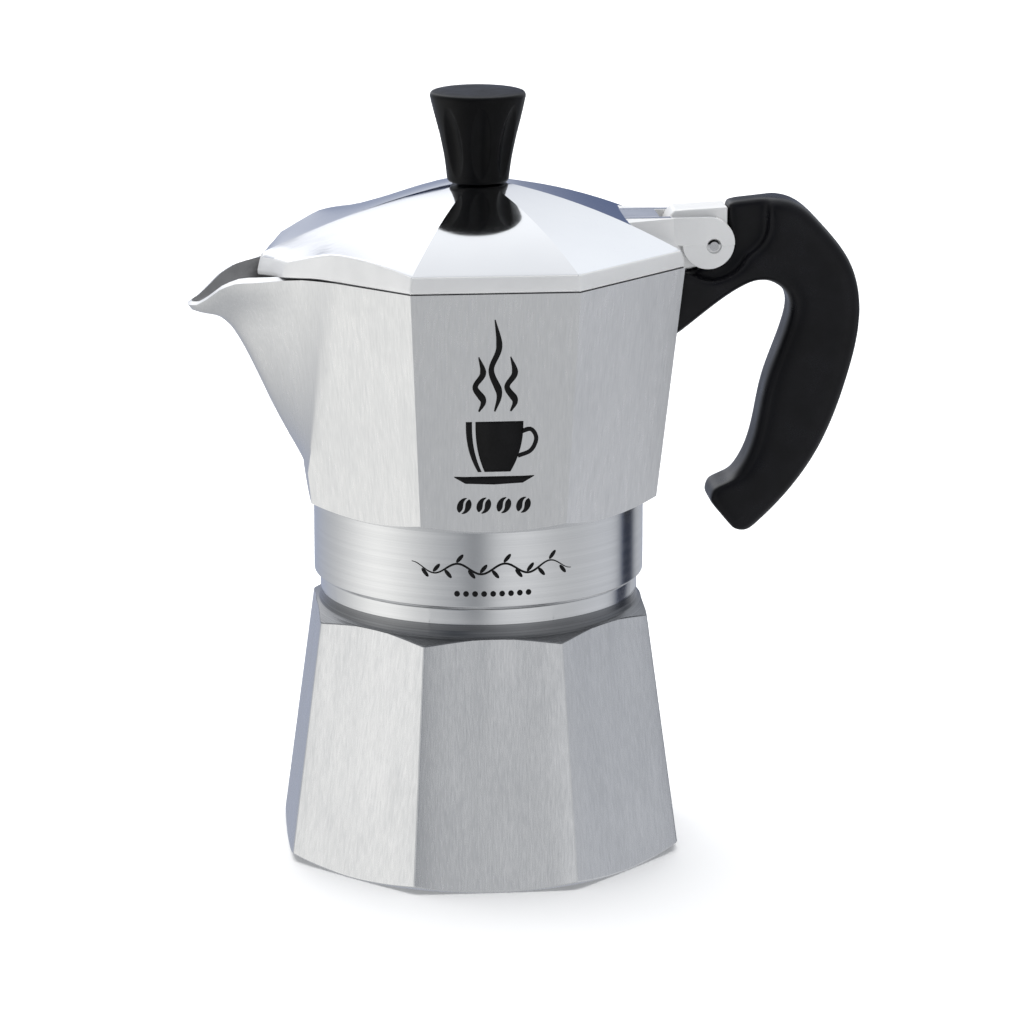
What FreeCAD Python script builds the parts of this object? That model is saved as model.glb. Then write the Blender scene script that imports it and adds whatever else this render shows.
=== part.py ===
import FreeCAD, Part
import math
import os

from FreeCAD import Vector

# Three-cup stovetop coffee maker, millimetres. Origin: centre of the boiler's flat bottom.
# +Z up, spout towards -X, handle towards +X. The octagon's flats face 0, 45, 90 ... degrees.

# --- boiler -------------------------------------------------------------------------------
BOILER_CORNER_BOTTOM = 45.9      # corner radius of the octagon at z = 0
BOILER_CORNER_TAPER = 0.144      # corner radius lost per millimetre of height
FOOT_RADIUS = 41.95              # flat turned foot
FOOT_CHAMFER_HEIGHT = 1.8
SHOULDER_RADIUS = 35.3           # where the turned shoulder meets the neck ring's cove
SHOULDER_Z = 53.9
SHOULDER_SLOPE = 0.4516          # drop per millimetre outwards
NECK_RING_RADIUS = 34.4
NECK_RING_TOP = 60.2
NECK_TOP = 69.0
NECK_BORE = 27.6
BOILER_WALL = 3.0
BOILER_FLOOR = 3.2
CAVITY_TOP = 50.0

# --- thread between boiler and upper chamber -------------------------------------------------
THREAD_PITCH = 3.0
THREAD_CORE = 32.4               # root radius on the boiler neck
THREAD_DEPTH = 0.9
THREAD_CLEARANCE = 0.3
THREAD_BOTTOM = 62.0
THREAD_LENGTH = 5.2
THREAD_BASE_WIDTH = 1.4
THREAD_CREST_WIDTH = 0.7
THREAD_ROOT_SINK = 0.3           # how far a ridge reaches into the wall that carries it

# --- safety valve, on the back flat --------------------------------------------------------
VALVE_Z = 34.0
VALVE_FACE_Y = 40.6              # machined boss face
VALVE_BOSS_RADIUS = 8.0
VALVE_SHANK_RADIUS = 4.6
VALVE_PAD_Y = 33.8               # machined pad on the inside, for the nut
VALVE_INNER_Y = 30.0
VALVE_BORE = 3.0
VALVE_HEX_FLATS = 12.0
VALVE_HEX_LENGTH = 4.6
VALVE_WASHER = 0.8
VALVE_PIN_RADIUS = 0.9
VALVE_TRAVEL = 1.2

# --- funnel, gasket, filter ----------------------------------------------------------------
BASKET_RADIUS = 26.3
SHEET = 0.7
FLANGE_RADIUS = 32.0
FLANGE_THICKNESS = 0.8
BASKET_FLOOR_Z = 50.0
CONE_END_Z = 39.0
STEM_RADIUS = 4.5
STEM_BOTTOM_Z = 8.0
GASKET_THICKNESS = 3.5
PLATE_RADIUS = 29.8
PLATE_THICKNESS = 0.8
HOLE_RADIUS = 0.8
HOLE_SPACING = 5.4

# --- upper chamber -------------------------------------------------------------------------
COLLAR_RADIUS = 35.7
COLLAR_BOTTOM = 60.4
COLLAR_TOP = 77.1
CHAMBER_CORNER_TOP = 45.9        # corner radius of the octagon at the rim
CHAMBER_TOP = 129.4
CHAMBER_CORNER_TAPER = 0.1176
CHAMBER_WALL = 2.6
UNDERSIDE_SLOPE = 0.5
CHAMBER_FLOOR_Z = 80.4
COLUMN_RADIUS = 4.6
COLUMN_BORE = 3.2
COLUMN_TOP = 120.0

# --- hinge, lug and handle -----------------------------------------------------------------
PIN_X = 50.1
PIN_Z = 131.7
PIN_RADIUS = 1.0
PIN_CLEARANCE = 0.05
LUG_HALF_WIDTH = 4.0
LUG_END_X = 53.3
LUG_SWING_RADIUS = 11.2          # the lug's front corner is rounded about the pin
EAR_INNER = 4.3
EAR_OUTER = 6.5
EAR_X = 48.9
EAR_Z = 132.3
EAR_RADIUS = 5.7
NOTCH_RADIUS = 13.2              # the lid's notch for the lug, about the pin
HANDLE_HALF_WIDTH = 6.6
HANDLE_EDGE_ROUND = 3.0
TONGUE_END_X = 65.0
TONGUE_HALF_WIDTH = 2.6
HANDLE_SCREW_X = 60.0

# --- lid and knob --------------------------------------------------------------------------
LID_BOTTOM = 129.5
LID_SKIN = 2.0
LID_TOP = 145.5
KNOB_BOTTOM = 145.7
KNOB_TOP = 165.0
FLUTES = 8

BIG = 200.0


def vec(x, y, z):
    return Vector(x, y, z)


def cylinder(radius, z_low, z_high, x=0.0, y=0.0):
    return Part.makeCylinder(radius, z_high - z_low, vec(x, y, z_low))


def cylinder_y(radius, y_low, y_high, x=0.0, z=0.0):
    return Part.makeCylinder(radius, y_high - y_low, vec(x, y_low, z), vec(0, 1, 0))


def box(x_low, x_high, y_low, y_high, z_low, z_high):
    return Part.makeBox(x_high - x_low, y_high - y_low, z_high - z_low, vec(x_low, y_low, z_low))


def both_sides(shape):
    """The shape and its mirror image across the XZ plane."""
    return shape.fuse(shape.mirror(vec(0, 0, 0), vec(0, 1, 0)))


def revolve(profile):
    """Solid of revolution about Z from a closed list of (radius, z) points."""
    points = [vec(r, 0, z) for r, z in profile]
    face = Part.Face(Part.makePolygon(points + points[:1]))
    return face.revolve(vec(0, 0, 0), vec(0, 0, 1), 360)


def slab(outline, half_width):
    """Extrude a closed (x, z) polygon to both sides of the XZ plane."""
    points = [vec(x, -half_width, z) for x, z in outline]
    face = Part.Face(Part.makePolygon(points + points[:1]))
    return face.extrude(vec(0, 2 * half_width, 0))


def octagon(corner_radius, z):
    angles = [math.radians(22.5 + 45 * k) for k in range(8)]
    points = [vec(corner_radius * math.cos(a), corner_radius * math.sin(a), z) for a in angles]
    return Part.makePolygon(points + points[:1])


def octagon_solid(low_radius, low_z, high_radius, high_z):
    return Part.makeLoft([octagon(low_radius, low_z), octagon(high_radius, high_z)], True, True)


def boiler_corner(z):
    return BOILER_CORNER_BOTTOM - BOILER_CORNER_TAPER * z


def chamber_corner(z):
    return CHAMBER_CORNER_TOP - CHAMBER_CORNER_TAPER * (CHAMBER_TOP - z)


def chamber_block(z_low, z_high, inset=0.0):
    low = chamber_corner(z_low) - inset
    high = chamber_corner(z_high) - inset
    return octagon_solid(low, z_low, high, z_high)


def thread_ridge(wall_radius, depth, z_low, inward):
    """Helical ridge standing on a wall, outwards from it or inwards."""
    way = -1 if inward else 1
    foot = wall_radius - way * THREAD_ROOT_SINK
    crest = wall_radius + way * depth
    half_base = THREAD_BASE_WIDTH / 2
    half_crest = THREAD_CREST_WIDTH / 2
    section = [
        vec(foot, 0, z_low - half_base),
        vec(crest, 0, z_low - half_crest),
        vec(crest, 0, z_low + half_crest),
        vec(foot, 0, z_low + half_base),
    ]
    helix = Part.makeHelix(THREAD_PITCH, THREAD_LENGTH, wall_radius)
    helix.translate(vec(0, 0, z_low))
    wire = Part.makePolygon(section + section[:1])
    return Part.Wire(helix).makePipeShell([wire], True, True)


def perforations(radius, z_low, z_high):
    """Round holes on a triangular grid inside a radius, as one compound."""
    holes = []
    rows = int(radius / HOLE_SPACING) + 1
    row_height = HOLE_SPACING * math.sqrt(3) / 2
    for row in range(-rows, rows + 1):
        shift = 0.5 * HOLE_SPACING * (row % 2)
        for column in range(-rows - 1, rows + 2):
            x = column * HOLE_SPACING + shift
            y = row * row_height
            if math.hypot(x, y) < radius:
                holes.append(cylinder(HOLE_RADIUS, z_low, z_high, x, y))
    return Part.makeCompound(holes)


def valve_cylinder(radius, y_low, y_high):
    return cylinder_y(radius, y_low, y_high, 0.0, VALVE_Z)


# --- boiler --------------------------------------------------------------------------------

def make_boiler():
    wide = BOILER_CORNER_BOTTOM + 4
    shoulder_edge_z = SHOULDER_Z - SHOULDER_SLOPE * (wide - SHOULDER_RADIUS)
    turned = revolve([
        (0, 0), (FOOT_RADIUS, 0),
        (boiler_corner(FOOT_CHAMFER_HEIGHT), FOOT_CHAMFER_HEIGHT), (wide, FOOT_CHAMFER_HEIGHT),
        (wide, shoulder_edge_z), (SHOULDER_RADIUS + 0.4, SHOULDER_Z - 0.4 * SHOULDER_SLOPE),
        (SHOULDER_RADIUS - 0.5, SHOULDER_Z + 0.4), (NECK_RING_RADIUS, SHOULDER_Z + 1.6),
        (NECK_RING_RADIUS, NECK_RING_TOP), (THREAD_CORE, NECK_RING_TOP + 0.6),
        (THREAD_CORE, NECK_TOP), (0, NECK_TOP),
    ])
    block = octagon_solid(boiler_corner(0), 0, boiler_corner(NECK_RING_TOP - 4), NECK_RING_TOP - 4)
    neck = cylinder(NECK_RING_RADIUS, SHOULDER_Z - 3, NECK_TOP)
    body = block.fuse(neck).common(turned)

    inside = octagon_solid(
        boiler_corner(BOILER_FLOOR) - BOILER_WALL, BOILER_FLOOR,
        boiler_corner(CAVITY_TOP) - BOILER_WALL, CAVITY_TOP)
    rounded = revolve([
        (0, BOILER_FLOOR), (37.0, BOILER_FLOOR), (41.0, BOILER_FLOOR + 3.5),
        (34.6, CAVITY_TOP - 5), (NECK_BORE, CAVITY_TOP), (0, CAVITY_TOP),
    ])
    cavity = inside.common(rounded).fuse(cylinder(NECK_BORE, CAVITY_TOP - 1, NECK_TOP + 1))

    boss = valve_cylinder(VALVE_BOSS_RADIUS, VALVE_FACE_Y - 5.5, VALVE_FACE_Y)
    inner_pad = valve_cylinder(VALVE_BOSS_RADIUS, VALVE_PAD_Y, VALVE_FACE_Y - 3)
    body = body.cut(cavity).fuse(boss).fuse(inner_pad)
    body = body.cut(valve_cylinder(VALVE_SHANK_RADIUS, VALVE_INNER_Y, VALVE_FACE_Y + 4))
    body = body.cut(valve_cylinder(VALVE_BOSS_RADIUS, VALVE_INNER_Y, VALVE_PAD_Y))
    spot_face = valve_cylinder(VALVE_BOSS_RADIUS, VALVE_FACE_Y, VALVE_FACE_Y + 4)
    body = body.cut(spot_face)
    return body.fuse(thread_ridge(THREAD_CORE, THREAD_DEPTH, THREAD_BOTTOM, False))


# --- safety valve --------------------------------------------------------------------------

def valve_levels():
    """Places along the valve's axis, from the inside of the boiler outwards."""
    head_low = VALVE_FACE_Y + VALVE_WASHER
    return {
        "inner": VALVE_INNER_Y, "seat": VALVE_INNER_Y + 1.2, "nut_high": VALVE_PAD_Y,
        "head_low": head_low, "head_high": head_low + VALVE_HEX_LENGTH,
    }


def make_valve_body():
    at = valve_levels()
    corner = VALVE_HEX_FLATS / math.sqrt(3)
    angles = [math.radians(60 * k) for k in range(6)]
    points = [vec(corner * math.cos(a), at["head_low"], VALVE_Z + corner * math.sin(a)) for a in angles]
    hexagon = Part.Face(Part.makePolygon(points + points[:1])).extrude(vec(0, VALVE_HEX_LENGTH, 0))
    chamfer = Part.makeCone(corner + 1.4, corner - 0.7, VALVE_HEX_LENGTH + 0.01,
                            vec(0, at["head_low"], VALVE_Z), vec(0, 1, 0))
    shank = valve_cylinder(VALVE_SHANK_RADIUS - 0.05, at["inner"], at["head_high"])
    body = hexagon.common(chamfer).fuse(shank)
    body = body.cut(valve_cylinder(VALVE_BORE, at["seat"], at["head_high"] + 1))
    return body.cut(valve_cylinder(1.3, at["inner"] - 1, at["seat"] + 1))


def make_valve_washer():
    ring = valve_cylinder(VALVE_BOSS_RADIUS - 0.8, VALVE_FACE_Y, VALVE_FACE_Y + VALVE_WASHER)
    return ring.cut(valve_cylinder(VALVE_SHANK_RADIUS + 0.1, VALVE_FACE_Y - 1, VALVE_FACE_Y + 2))


def make_valve_nut():
    at = valve_levels()
    nut = valve_cylinder(VALVE_SHANK_RADIUS + 2.2, at["nut_high"] - 2.6, at["nut_high"])
    return nut.cut(valve_cylinder(VALVE_SHANK_RADIUS - 0.05, at["inner"], at["nut_high"] + 1))


def make_valve_cap():
    at = valve_levels()
    cap = valve_cylinder(VALVE_BORE, at["head_high"] - 1.6, at["head_high"])
    return cap.cut(valve_cylinder(VALVE_PIN_RADIUS + 0.08, at["head_high"] - 3, at["head_high"] + 1))


def make_valve_plunger():
    at = valve_levels()
    disc = valve_cylinder(VALVE_BORE - 0.08, at["seat"], at["seat"] + 1.2)
    pin = valve_cylinder(VALVE_PIN_RADIUS, at["seat"] + 0.5, at["head_high"] + 1.0)
    return disc.fuse(pin)


def make_valve_spring():
    at = valve_levels()
    wire_radius = 0.3
    coil_radius = 1.95
    low = at["seat"] + 1.2 + wire_radius
    length = at["head_high"] - 1.6 - wire_radius - low
    helix = Part.makeHelix(length / 6, length, coil_radius)
    start = Part.Circle(vec(coil_radius, 0, 0), vec(0, 1, 0), wire_radius)
    section = Part.Wire(start.toShape())
    spring = Part.Wire(helix).makePipeShell([section], True, False)
    spring.rotate(vec(0, 0, 0), vec(1, 0, 0), -90)
    spring.translate(vec(0, low, VALVE_Z))
    return spring


# --- funnel, screen, gasket, filter plate ----------------------------------------------------

def make_funnel():
    outer = BASKET_RADIUS + SHEET
    flange_top = NECK_TOP + FLANGE_THICKNESS
    wall = revolve([
        (BASKET_RADIUS, flange_top), (FLANGE_RADIUS, flange_top), (FLANGE_RADIUS, NECK_TOP),
        (outer, NECK_TOP), (outer, BASKET_FLOOR_Z - SHEET), (outer - 1.6, BASKET_FLOOR_Z - 1.6),
        (STEM_RADIUS, CONE_END_Z - SHEET), (STEM_RADIUS, STEM_BOTTOM_Z),
        (STEM_RADIUS - SHEET, STEM_BOTTOM_Z), (STEM_RADIUS - SHEET, CONE_END_Z),
        (BASKET_RADIUS - 1.7, BASKET_FLOOR_Z), (BASKET_RADIUS, BASKET_FLOOR_Z),
    ])
    notch = box(-1.2, 1.2, -STEM_RADIUS - 1, STEM_RADIUS + 1, STEM_BOTTOM_Z - 1, STEM_BOTTOM_Z + 2.5)
    return wall.cut(notch)


def make_funnel_screen():
    disc = cylinder(BASKET_RADIUS - 0.05, BASKET_FLOOR_Z, BASKET_FLOOR_Z + PLATE_THICKNESS)
    return disc.cut(perforations(BASKET_RADIUS - 3.4, BASKET_FLOOR_Z - 1, BASKET_FLOOR_Z + 2))


def gasket_bottom():
    return NECK_TOP + FLANGE_THICKNESS


def plate_bottom():
    return gasket_bottom() + GASKET_THICKNESS


def make_gasket():
    low = gasket_bottom()
    high = plate_bottom()
    ring = revolve([
        (BASKET_RADIUS, low), (FLANGE_RADIUS - 0.4, low), (FLANGE_RADIUS, low + 0.4),
        (FLANGE_RADIUS, high - 0.4), (FLANGE_RADIUS - 0.4, high), (BASKET_RADIUS, high),
    ])
    return ring


def make_filter_plate():
    low = plate_bottom()
    disc = revolve([
        (0, low + 0.9), (7.0, low + 0.9), (10.0, low), (PLATE_RADIUS, low),
        (PLATE_RADIUS, low + PLATE_THICKNESS), (10.2, low + PLATE_THICKNESS),
        (7.2, low + 0.9 + PLATE_THICKNESS), (0, low + 0.9 + PLATE_THICKNESS),
    ])
    return disc.cut(perforations(BASKET_RADIUS - 2.0, low - 2, low + 4))


# --- upper chamber -------------------------------------------------------------------------

# Spout sections from low to high: height, keel x, shoulder (x, y), foot on the flat (x, y).
SPOUT_SECTIONS = [
    (86.0, -38.2, (-38.0, 6.0), (-36.0, 13.6)),
    (95.0, -43.0, (-41.4, 5.0), (-35.4, 16.6)),
    (105.0, -47.7, (-45.0, 5.2), (-34.6, 19.8)),
    (112.0, -51.3, (-47.8, 6.2), (-33.8, 22.4)),
    (116.5, -54.9, (-50.6, 7.2), (-33.2, 24.0)),
    (119.0, -60.6, (-53.8, 8.2), (-32.8, 24.9)),
    (121.0, -62.0, (-55.4, 8.8), (-32.6, 25.6)),
    (130.0, -62.0, (-56.0, 9.6), (-32.0, 28.2)),
]
# The pouring lip as a profile in the XZ plane, from the flat to the tip.
LIP_PROFILE = [
    (-32.4, 129.4), (-38.7, 128.8), (-43.4, 127.9), (-47.9, 126.9), (-52.1, 126.3),
    (-55.3, 124.8), (-58.1, 122.3), (-60.4, 120.5), (-63.0, 120.1),
]
SPOUT_WALL = 2.2


def spout_section(z, keel, shoulder, foot, inset):
    """Closed V-shaped section, drawn in by the inset on its outer side."""
    back_x = -20.0
    keel_x = keel + inset * 1.15
    shoulder_point = (shoulder[0] + inset * 0.8, max(shoulder[1] - inset * 0.6, 1.2))
    foot_point = (foot[0] + inset * 0.6, foot[1] - inset)
    tip_half = shoulder_point[1] * 0.55
    points = [
        vec(back_x, foot_point[1], z), vec(foot_point[0], foot_point[1], z),
        vec(shoulder_point[0], shoulder_point[1], z),
        vec(0.25 * shoulder_point[0] + 0.75 * keel_x, tip_half, z),
        vec(keel_x, 0, z),
    ]
    mirrored = [vec(p.x, -p.y, p.z) for p in reversed(points[:-1])]
    return Part.makePolygon(points + mirrored + points[:1])


def spout_block(inset):
    wires = [spout_section(z, keel, shoulder, foot, inset) for z, keel, shoulder, foot in SPOUT_SECTIONS]
    return Part.makeLoft(wires, True, True)


def above_lip():
    """Everything over the pouring lip, as wide as the chamber."""
    return slab(LIP_PROFILE + [(-75.0, 120.1), (-75.0, 140.0), (-20.0, 140.0), (-20.0, 129.4)], 45.0)


def lug_outline():
    return [(38.0, 125.0), (42.0, 125.4), (LUG_END_X, 128.5), (LUG_END_X, 139.9), (38.0, 139.0)]


def make_lug():
    lug = slab(lug_outline(), LUG_HALF_WIDTH)
    swing = cylinder_y(LUG_SWING_RADIUS, -10, 10, PIN_X, PIN_Z)
    lower = box(30, LUG_END_X, -10, 10, 120, CHAMBER_TOP)
    lug = lug.common(swing.fuse(lower))
    tongue = box(LUG_END_X - 1, TONGUE_END_X, -TONGUE_HALF_WIDTH, TONGUE_HALF_WIDTH, 129.4, 134.4)
    return lug.fuse(tongue)


def make_upper_chamber():
    turned = revolve([
        (0, COLLAR_BOTTOM), (COLLAR_RADIUS - 0.8, COLLAR_BOTTOM),
        (COLLAR_RADIUS, COLLAR_BOTTOM + 0.8), (COLLAR_RADIUS, COLLAR_TOP),
        (BIG, COLLAR_TOP + UNDERSIDE_SLOPE * (BIG - COLLAR_RADIUS)), (BIG, BIG), (0, BIG),
    ])
    shell = chamber_block(COLLAR_TOP - 1, CHAMBER_TOP)
    shell = shell.fuse(spout_block(0.0))
    shell = shell.fuse(cylinder(COLLAR_RADIUS, COLLAR_BOTTOM, COLLAR_TOP + 2)).common(turned)

    recess_top = plate_bottom() + PLATE_THICKNESS
    wall_radius = THREAD_CORE + THREAD_DEPTH + THREAD_CLEARANCE
    floor_rise = CHAMBER_FLOOR_Z + 2.4
    inside = chamber_block(CHAMBER_FLOOR_Z, CHAMBER_TOP + 1, CHAMBER_WALL / math.cos(math.pi / 8))
    floor_cone = revolve([
        (0, CHAMBER_FLOOR_Z - 1), (60, CHAMBER_FLOOR_Z - 1), (60, CHAMBER_FLOOR_Z),
        (36, CHAMBER_FLOOR_Z), (8.5, floor_rise), (6.6, floor_rise + 3), (0, floor_rise + 3),
    ])
    inside = inside.cut(floor_cone)
    channel = spout_block(SPOUT_WALL).common(box(-70, -20, -40, 40, 90.0, 140))
    shell = shell.cut(inside).cut(channel).cut(above_lip())

    bore = revolve([
        (0, COLLAR_BOTTOM - 1), (wall_radius + 0.8, COLLAR_BOTTOM - 1),
        (wall_radius, COLLAR_BOTTOM + 1.0), (wall_radius, recess_top - 4.6),
        (FLANGE_RADIUS + 0.5, recess_top - 4.4), (FLANGE_RADIUS + 0.5, recess_top), (28.0, recess_top),
        (COLUMN_RADIUS + 0.6, 79.4), (0, 79.4),
    ])
    shell = shell.cut(bore).cut(cylinder(COLUMN_RADIUS, 70, 95))
    ridge = thread_ridge(wall_radius, THREAD_DEPTH, THREAD_BOTTOM + THREAD_PITCH / 2, True)
    lug = make_lug().cut(chamber_block(110, CHAMBER_TOP, 1.0))
    shell = shell.fuse(lug).fuse(ridge)
    pin_hole = cylinder_y(PIN_RADIUS, -10, 10, PIN_X, PIN_Z)
    screw_hole = cylinder(1.6, 128, 136, HANDLE_SCREW_X)
    return shell.cut(pin_hole).cut(screw_hole)


def make_riser_column():
    tube = revolve([
        (COLUMN_BORE, 79.4), (COLUMN_RADIUS, 79.4), (COLUMN_RADIUS, 90.0), (4.2, COLUMN_TOP - 2),
        (3.4, COLUMN_TOP), (0, COLUMN_TOP), (0, COLUMN_TOP - 2.0), (2.6, COLUMN_TOP - 3.0),
    ])
    window = box(-6, 6, -1.3, 1.3, COLUMN_TOP - 8.0, COLUMN_TOP - 3.5)
    return tube.cut(window)


# --- handle --------------------------------------------------------------------------------

HANDLE_OUTSIDE = [
    (53.3, 140.6), (60.0, 141.3), (67.3, 140.8), (73.9, 135.4), (80.2, 127.0), (82.3, 119.0),
    (80.0, 102.6), (73.0, 84.9), (64.0, 73.2), (58.6, 68.2),
]
HANDLE_FOOT = [(55.4, 68.6), (49.8, 75.4), (50.6, 78.2)]
HANDLE_INSIDE = [
    (54.6, 79.9), (58.3, 85.7), (61.8, 100.8), (66.6, 115.1), (66.8, 119.6), (62.4, 123.4),
    (56.7, 122.3), (38.0, 110.6),
]


def handle_outline():
    outside = Part.BSplineCurve()
    outside.interpolate([vec(x, 0, z) for x, z in HANDLE_OUTSIDE])
    inside = Part.BSplineCurve()
    inside.interpolate([vec(x, 0, z) for x, z in HANDLE_INSIDE])
    foot_points = [HANDLE_OUTSIDE[-1]] + HANDLE_FOOT + [HANDLE_INSIDE[0]]
    foot = Part.makePolygon([vec(x, 0, z) for x, z in foot_points])
    front_points = [HANDLE_INSIDE[-1], (38.0, 138.6), HANDLE_OUTSIDE[0]]
    front = Part.makePolygon([vec(x, 0, z) for x, z in front_points])
    edges = [outside.toShape()] + foot.Edges + [inside.toShape()] + front.Edges
    return Part.Wire(Part.__sortEdges__(edges))


def long_edges(shape, half_width):
    """Edges of the outline on both flat sides that bound the grip."""
    found = []
    for edge in shape.Edges:
        middle = edge.valueAt(0.5 * (edge.FirstParameter + edge.LastParameter))
        if abs(abs(middle.y) - half_width) < 1e-3 and edge.Length > 30:
            found.append(edge)
    return found


def make_handle():
    face = Part.Face(handle_outline())
    face.translate(vec(0, -HANDLE_HALF_WIDTH, 0))
    grip = face.extrude(vec(0, 2 * HANDLE_HALF_WIDTH, 0))
    grip = grip.makeFillet(HANDLE_EDGE_ROUND, long_edges(grip, HANDLE_HALF_WIDTH))
    grip = grip.cut(chamber_block(100, 150))
    lug_room = lug_outline() + [(38.0, 150.0)]
    grip = grip.cut(slab(lug_room, LUG_HALF_WIDTH))
    above_lug = slab([(30.0, 125.0), (42.0, 125.4), (LUG_END_X, 128.5), (LUG_END_X, 150.0), (30.0, 150.0)], 10)
    grip = grip.cut(above_lug)
    ear_room = cylinder_y(7.6, EAR_INNER - 0.3, 20, PIN_X, PIN_Z)
    ear_room = ear_room.fuse(cylinder_y(7.4, EAR_INNER - 0.3, 20, 54.6, 136.2))
    ear_room = ear_room.fuse(box(48, 62, EAR_INNER - 0.3, 20, 136.2, 150))
    grip = grip.cut(both_sides(ear_room))
    grip = grip.cut(box(LUG_END_X - 2, TONGUE_END_X + 0.3, -TONGUE_HALF_WIDTH - 0.1,
                        TONGUE_HALF_WIDTH + 0.1, 129.3, 134.5))
    head_room = cylinder(3.1, 115, 126.2, HANDLE_SCREW_X)
    return grip.cut(head_room).cut(cylinder(1.7, 125, 135.5, HANDLE_SCREW_X))


def make_handle_screw():
    head = cylinder(2.9, 124.2, 126.2, HANDLE_SCREW_X)
    shank = cylinder(1.6, 126, 134.9, HANDLE_SCREW_X)
    slot = box(HANDLE_SCREW_X - 3, HANDLE_SCREW_X + 3, -0.4, 0.4, 124, 125)
    return head.fuse(shank).cut(slot)


def make_hinge_pin():
    pin = cylinder_y(PIN_RADIUS, -EAR_OUTER - 0.1, EAR_OUTER + 0.1, PIN_X, PIN_Z)
    return pin


# --- lid and knob --------------------------------------------------------------------------

# Lid levels: height, corner radius, swell of the side flat (x, y), corner by the beak (x, y), tip x.
LID_LEVELS = [
    (129.5, 45.8, (-33.0, 26.9), (-42.3, 17.5), -43.0),
    (132.9, 45.0, (-33.0, 26.8), (-41.6, 18.0), -40.6),
    (135.6, 40.0, (-32.7, 26.6), (-34.4, 14.0), -34.6),
    (138.8, 32.0, (-24.3, 19.4), (-26.4, 10.0), -27.0),
    (141.2, 24.7, (-18.0, 14.4), (-19.6, 7.6), -19.9),
    (143.4, 17.4, (-12.2, 10.0), (-12.8, 5.2), -12.6),
    (145.5, 7.4, (-5.4, 4.8), (-6.2, 2.6), -6.2),
]


def lid_wire(z, corner, bump, hollow, tip, inset=0.0, drop=0.0):
    shrink = 1 - inset / max(corner, 10.0)
    corners = [math.radians(a) for a in (112.5, 67.5, 22.5)]
    side = [(tip, 0.0), hollow, bump]
    side += [(corner * math.cos(a), corner * math.sin(a)) for a in corners]
    upper = [vec(shrink * x, shrink * y, z - drop) for x, y in side]
    lower = [vec(p.x, -p.y, p.z) for p in reversed(upper[1:])]
    return Part.makePolygon(upper + lower + upper[:1])


def lid_dome(inset, drop):
    return Part.makeLoft([lid_wire(*level, inset, drop) for level in LID_LEVELS], True, True)


def lid_beak(inset):
    """The part of the rim that reaches over the spout, with its sloping top."""
    half = [(-30.0, 24.0 - inset), (-36.0, 23.4 - inset), (-42.3 + inset, 17.5 - inset),
            (-46.4 + inset, 4.0), (-47.2 + inset, 2.4)]
    upper = [vec(x, y, 126.1) for x, y in half]
    lower = [vec(p.x, -p.y, p.z) for p in reversed(upper)]
    block = Part.Face(Part.makePolygon(upper + lower + upper[:1])).extrude(vec(0, 0, 10))
    top = 0.6 * inset
    keep = slab([(-48.0, 126.1), (-48.0, 129.2 - top), (-46.2, 130.1 - top), (-40.6, 132.9 - top),
                 (-30.0, 136.6 - top), (-30.0, 129.5), (-36.0, 129.5), (-42.3, 128.6), (-45.0, 127.6)], 40)
    return block.common(keep)


def make_lid():
    outer = lid_dome(0.0, 0.0).fuse(lid_beak(0.0))
    inner = lid_dome(LID_SKIN, LID_SKIN)
    below = Part.Face(lid_wire(*LID_LEVELS[0], LID_SKIN, 0.0)).extrude(vec(0, 0, -3))
    shell = outer.cut(inner.fuse(below))

    bridge = box(33.0, 43.0, -EAR_OUTER, EAR_OUTER, 132.0, 138.0)
    arm = box(36.0, EAR_X, EAR_INNER, EAR_OUTER, 131.0, EAR_Z + EAR_RADIUS)
    ear = cylinder_y(EAR_RADIUS, EAR_INNER, EAR_OUTER, EAR_X, EAR_Z)
    hinge = bridge.fuse(both_sides(arm.fuse(ear))).cut(inner.fuse(below))
    notch = cylinder_y(NOTCH_RADIUS, -EAR_INNER, EAR_INNER, PIN_X, PIN_Z)
    shell = shell.fuse(hinge).cut(notch)
    shell = shell.cut(cylinder_y(PIN_RADIUS + PIN_CLEARANCE, -20, 20, PIN_X, PIN_Z))
    return shell.cut(cylinder(2.2, 130, 150))


def make_knob():
    blank = revolve([
        (0, KNOB_BOTTOM), (6.3, KNOB_BOTTOM), (6.7, KNOB_BOTTOM + 1.0), (7.3, 150.7), (8.1, 154.6),
        (9.15, 159.1), (10.1, 163.6), (10.2, 164.3), (9.6, KNOB_TOP), (0, KNOB_TOP),
    ])
    flutes = []
    lean = math.degrees(math.atan2(10.1 - 6.6, KNOB_TOP - KNOB_BOTTOM))
    for index in range(FLUTES):
        flute = Part.makeSphere(1.0)
        stretch = FreeCAD.Matrix()
        stretch.scale(1.3, 2.3, 8.2)
        flute = flute.transformGeometry(stretch)
        flute.rotate(vec(0, 0, 0), vec(0, 1, 0), lean)
        flute.translate(vec(8.9, 0, 154.8))
        flute.rotate(vec(0, 0, 0), vec(0, 0, 1), index * 360 / FLUTES)
        flutes.append(flute)
    knob = blank.cut(Part.makeCompound(flutes))
    return knob.cut(cylinder(3.0, KNOB_BOTTOM - 1, 156.0))


def make_knob_insert():
    return cylinder(3.0, KNOB_BOTTOM, 155.8).cut(cylinder(1.95, KNOB_BOTTOM - 1, 154.6))


def make_knob_washer():
    top = LID_TOP - LID_SKIN
    return cylinder(4.4, top - 0.6, top).cut(cylinder(2.1, top - 2, top + 2))


def make_knob_screw():
    top = LID_TOP - LID_SKIN - 0.6
    head = cylinder(3.6, top - 1.8, top)
    shank = cylinder(1.9, top - 0.5, 153.6)
    slot = box(-4, 4, -0.5, 0.5, top - 2.5, top - 1.0)
    return head.fuse(shank).cut(slot)


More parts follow.
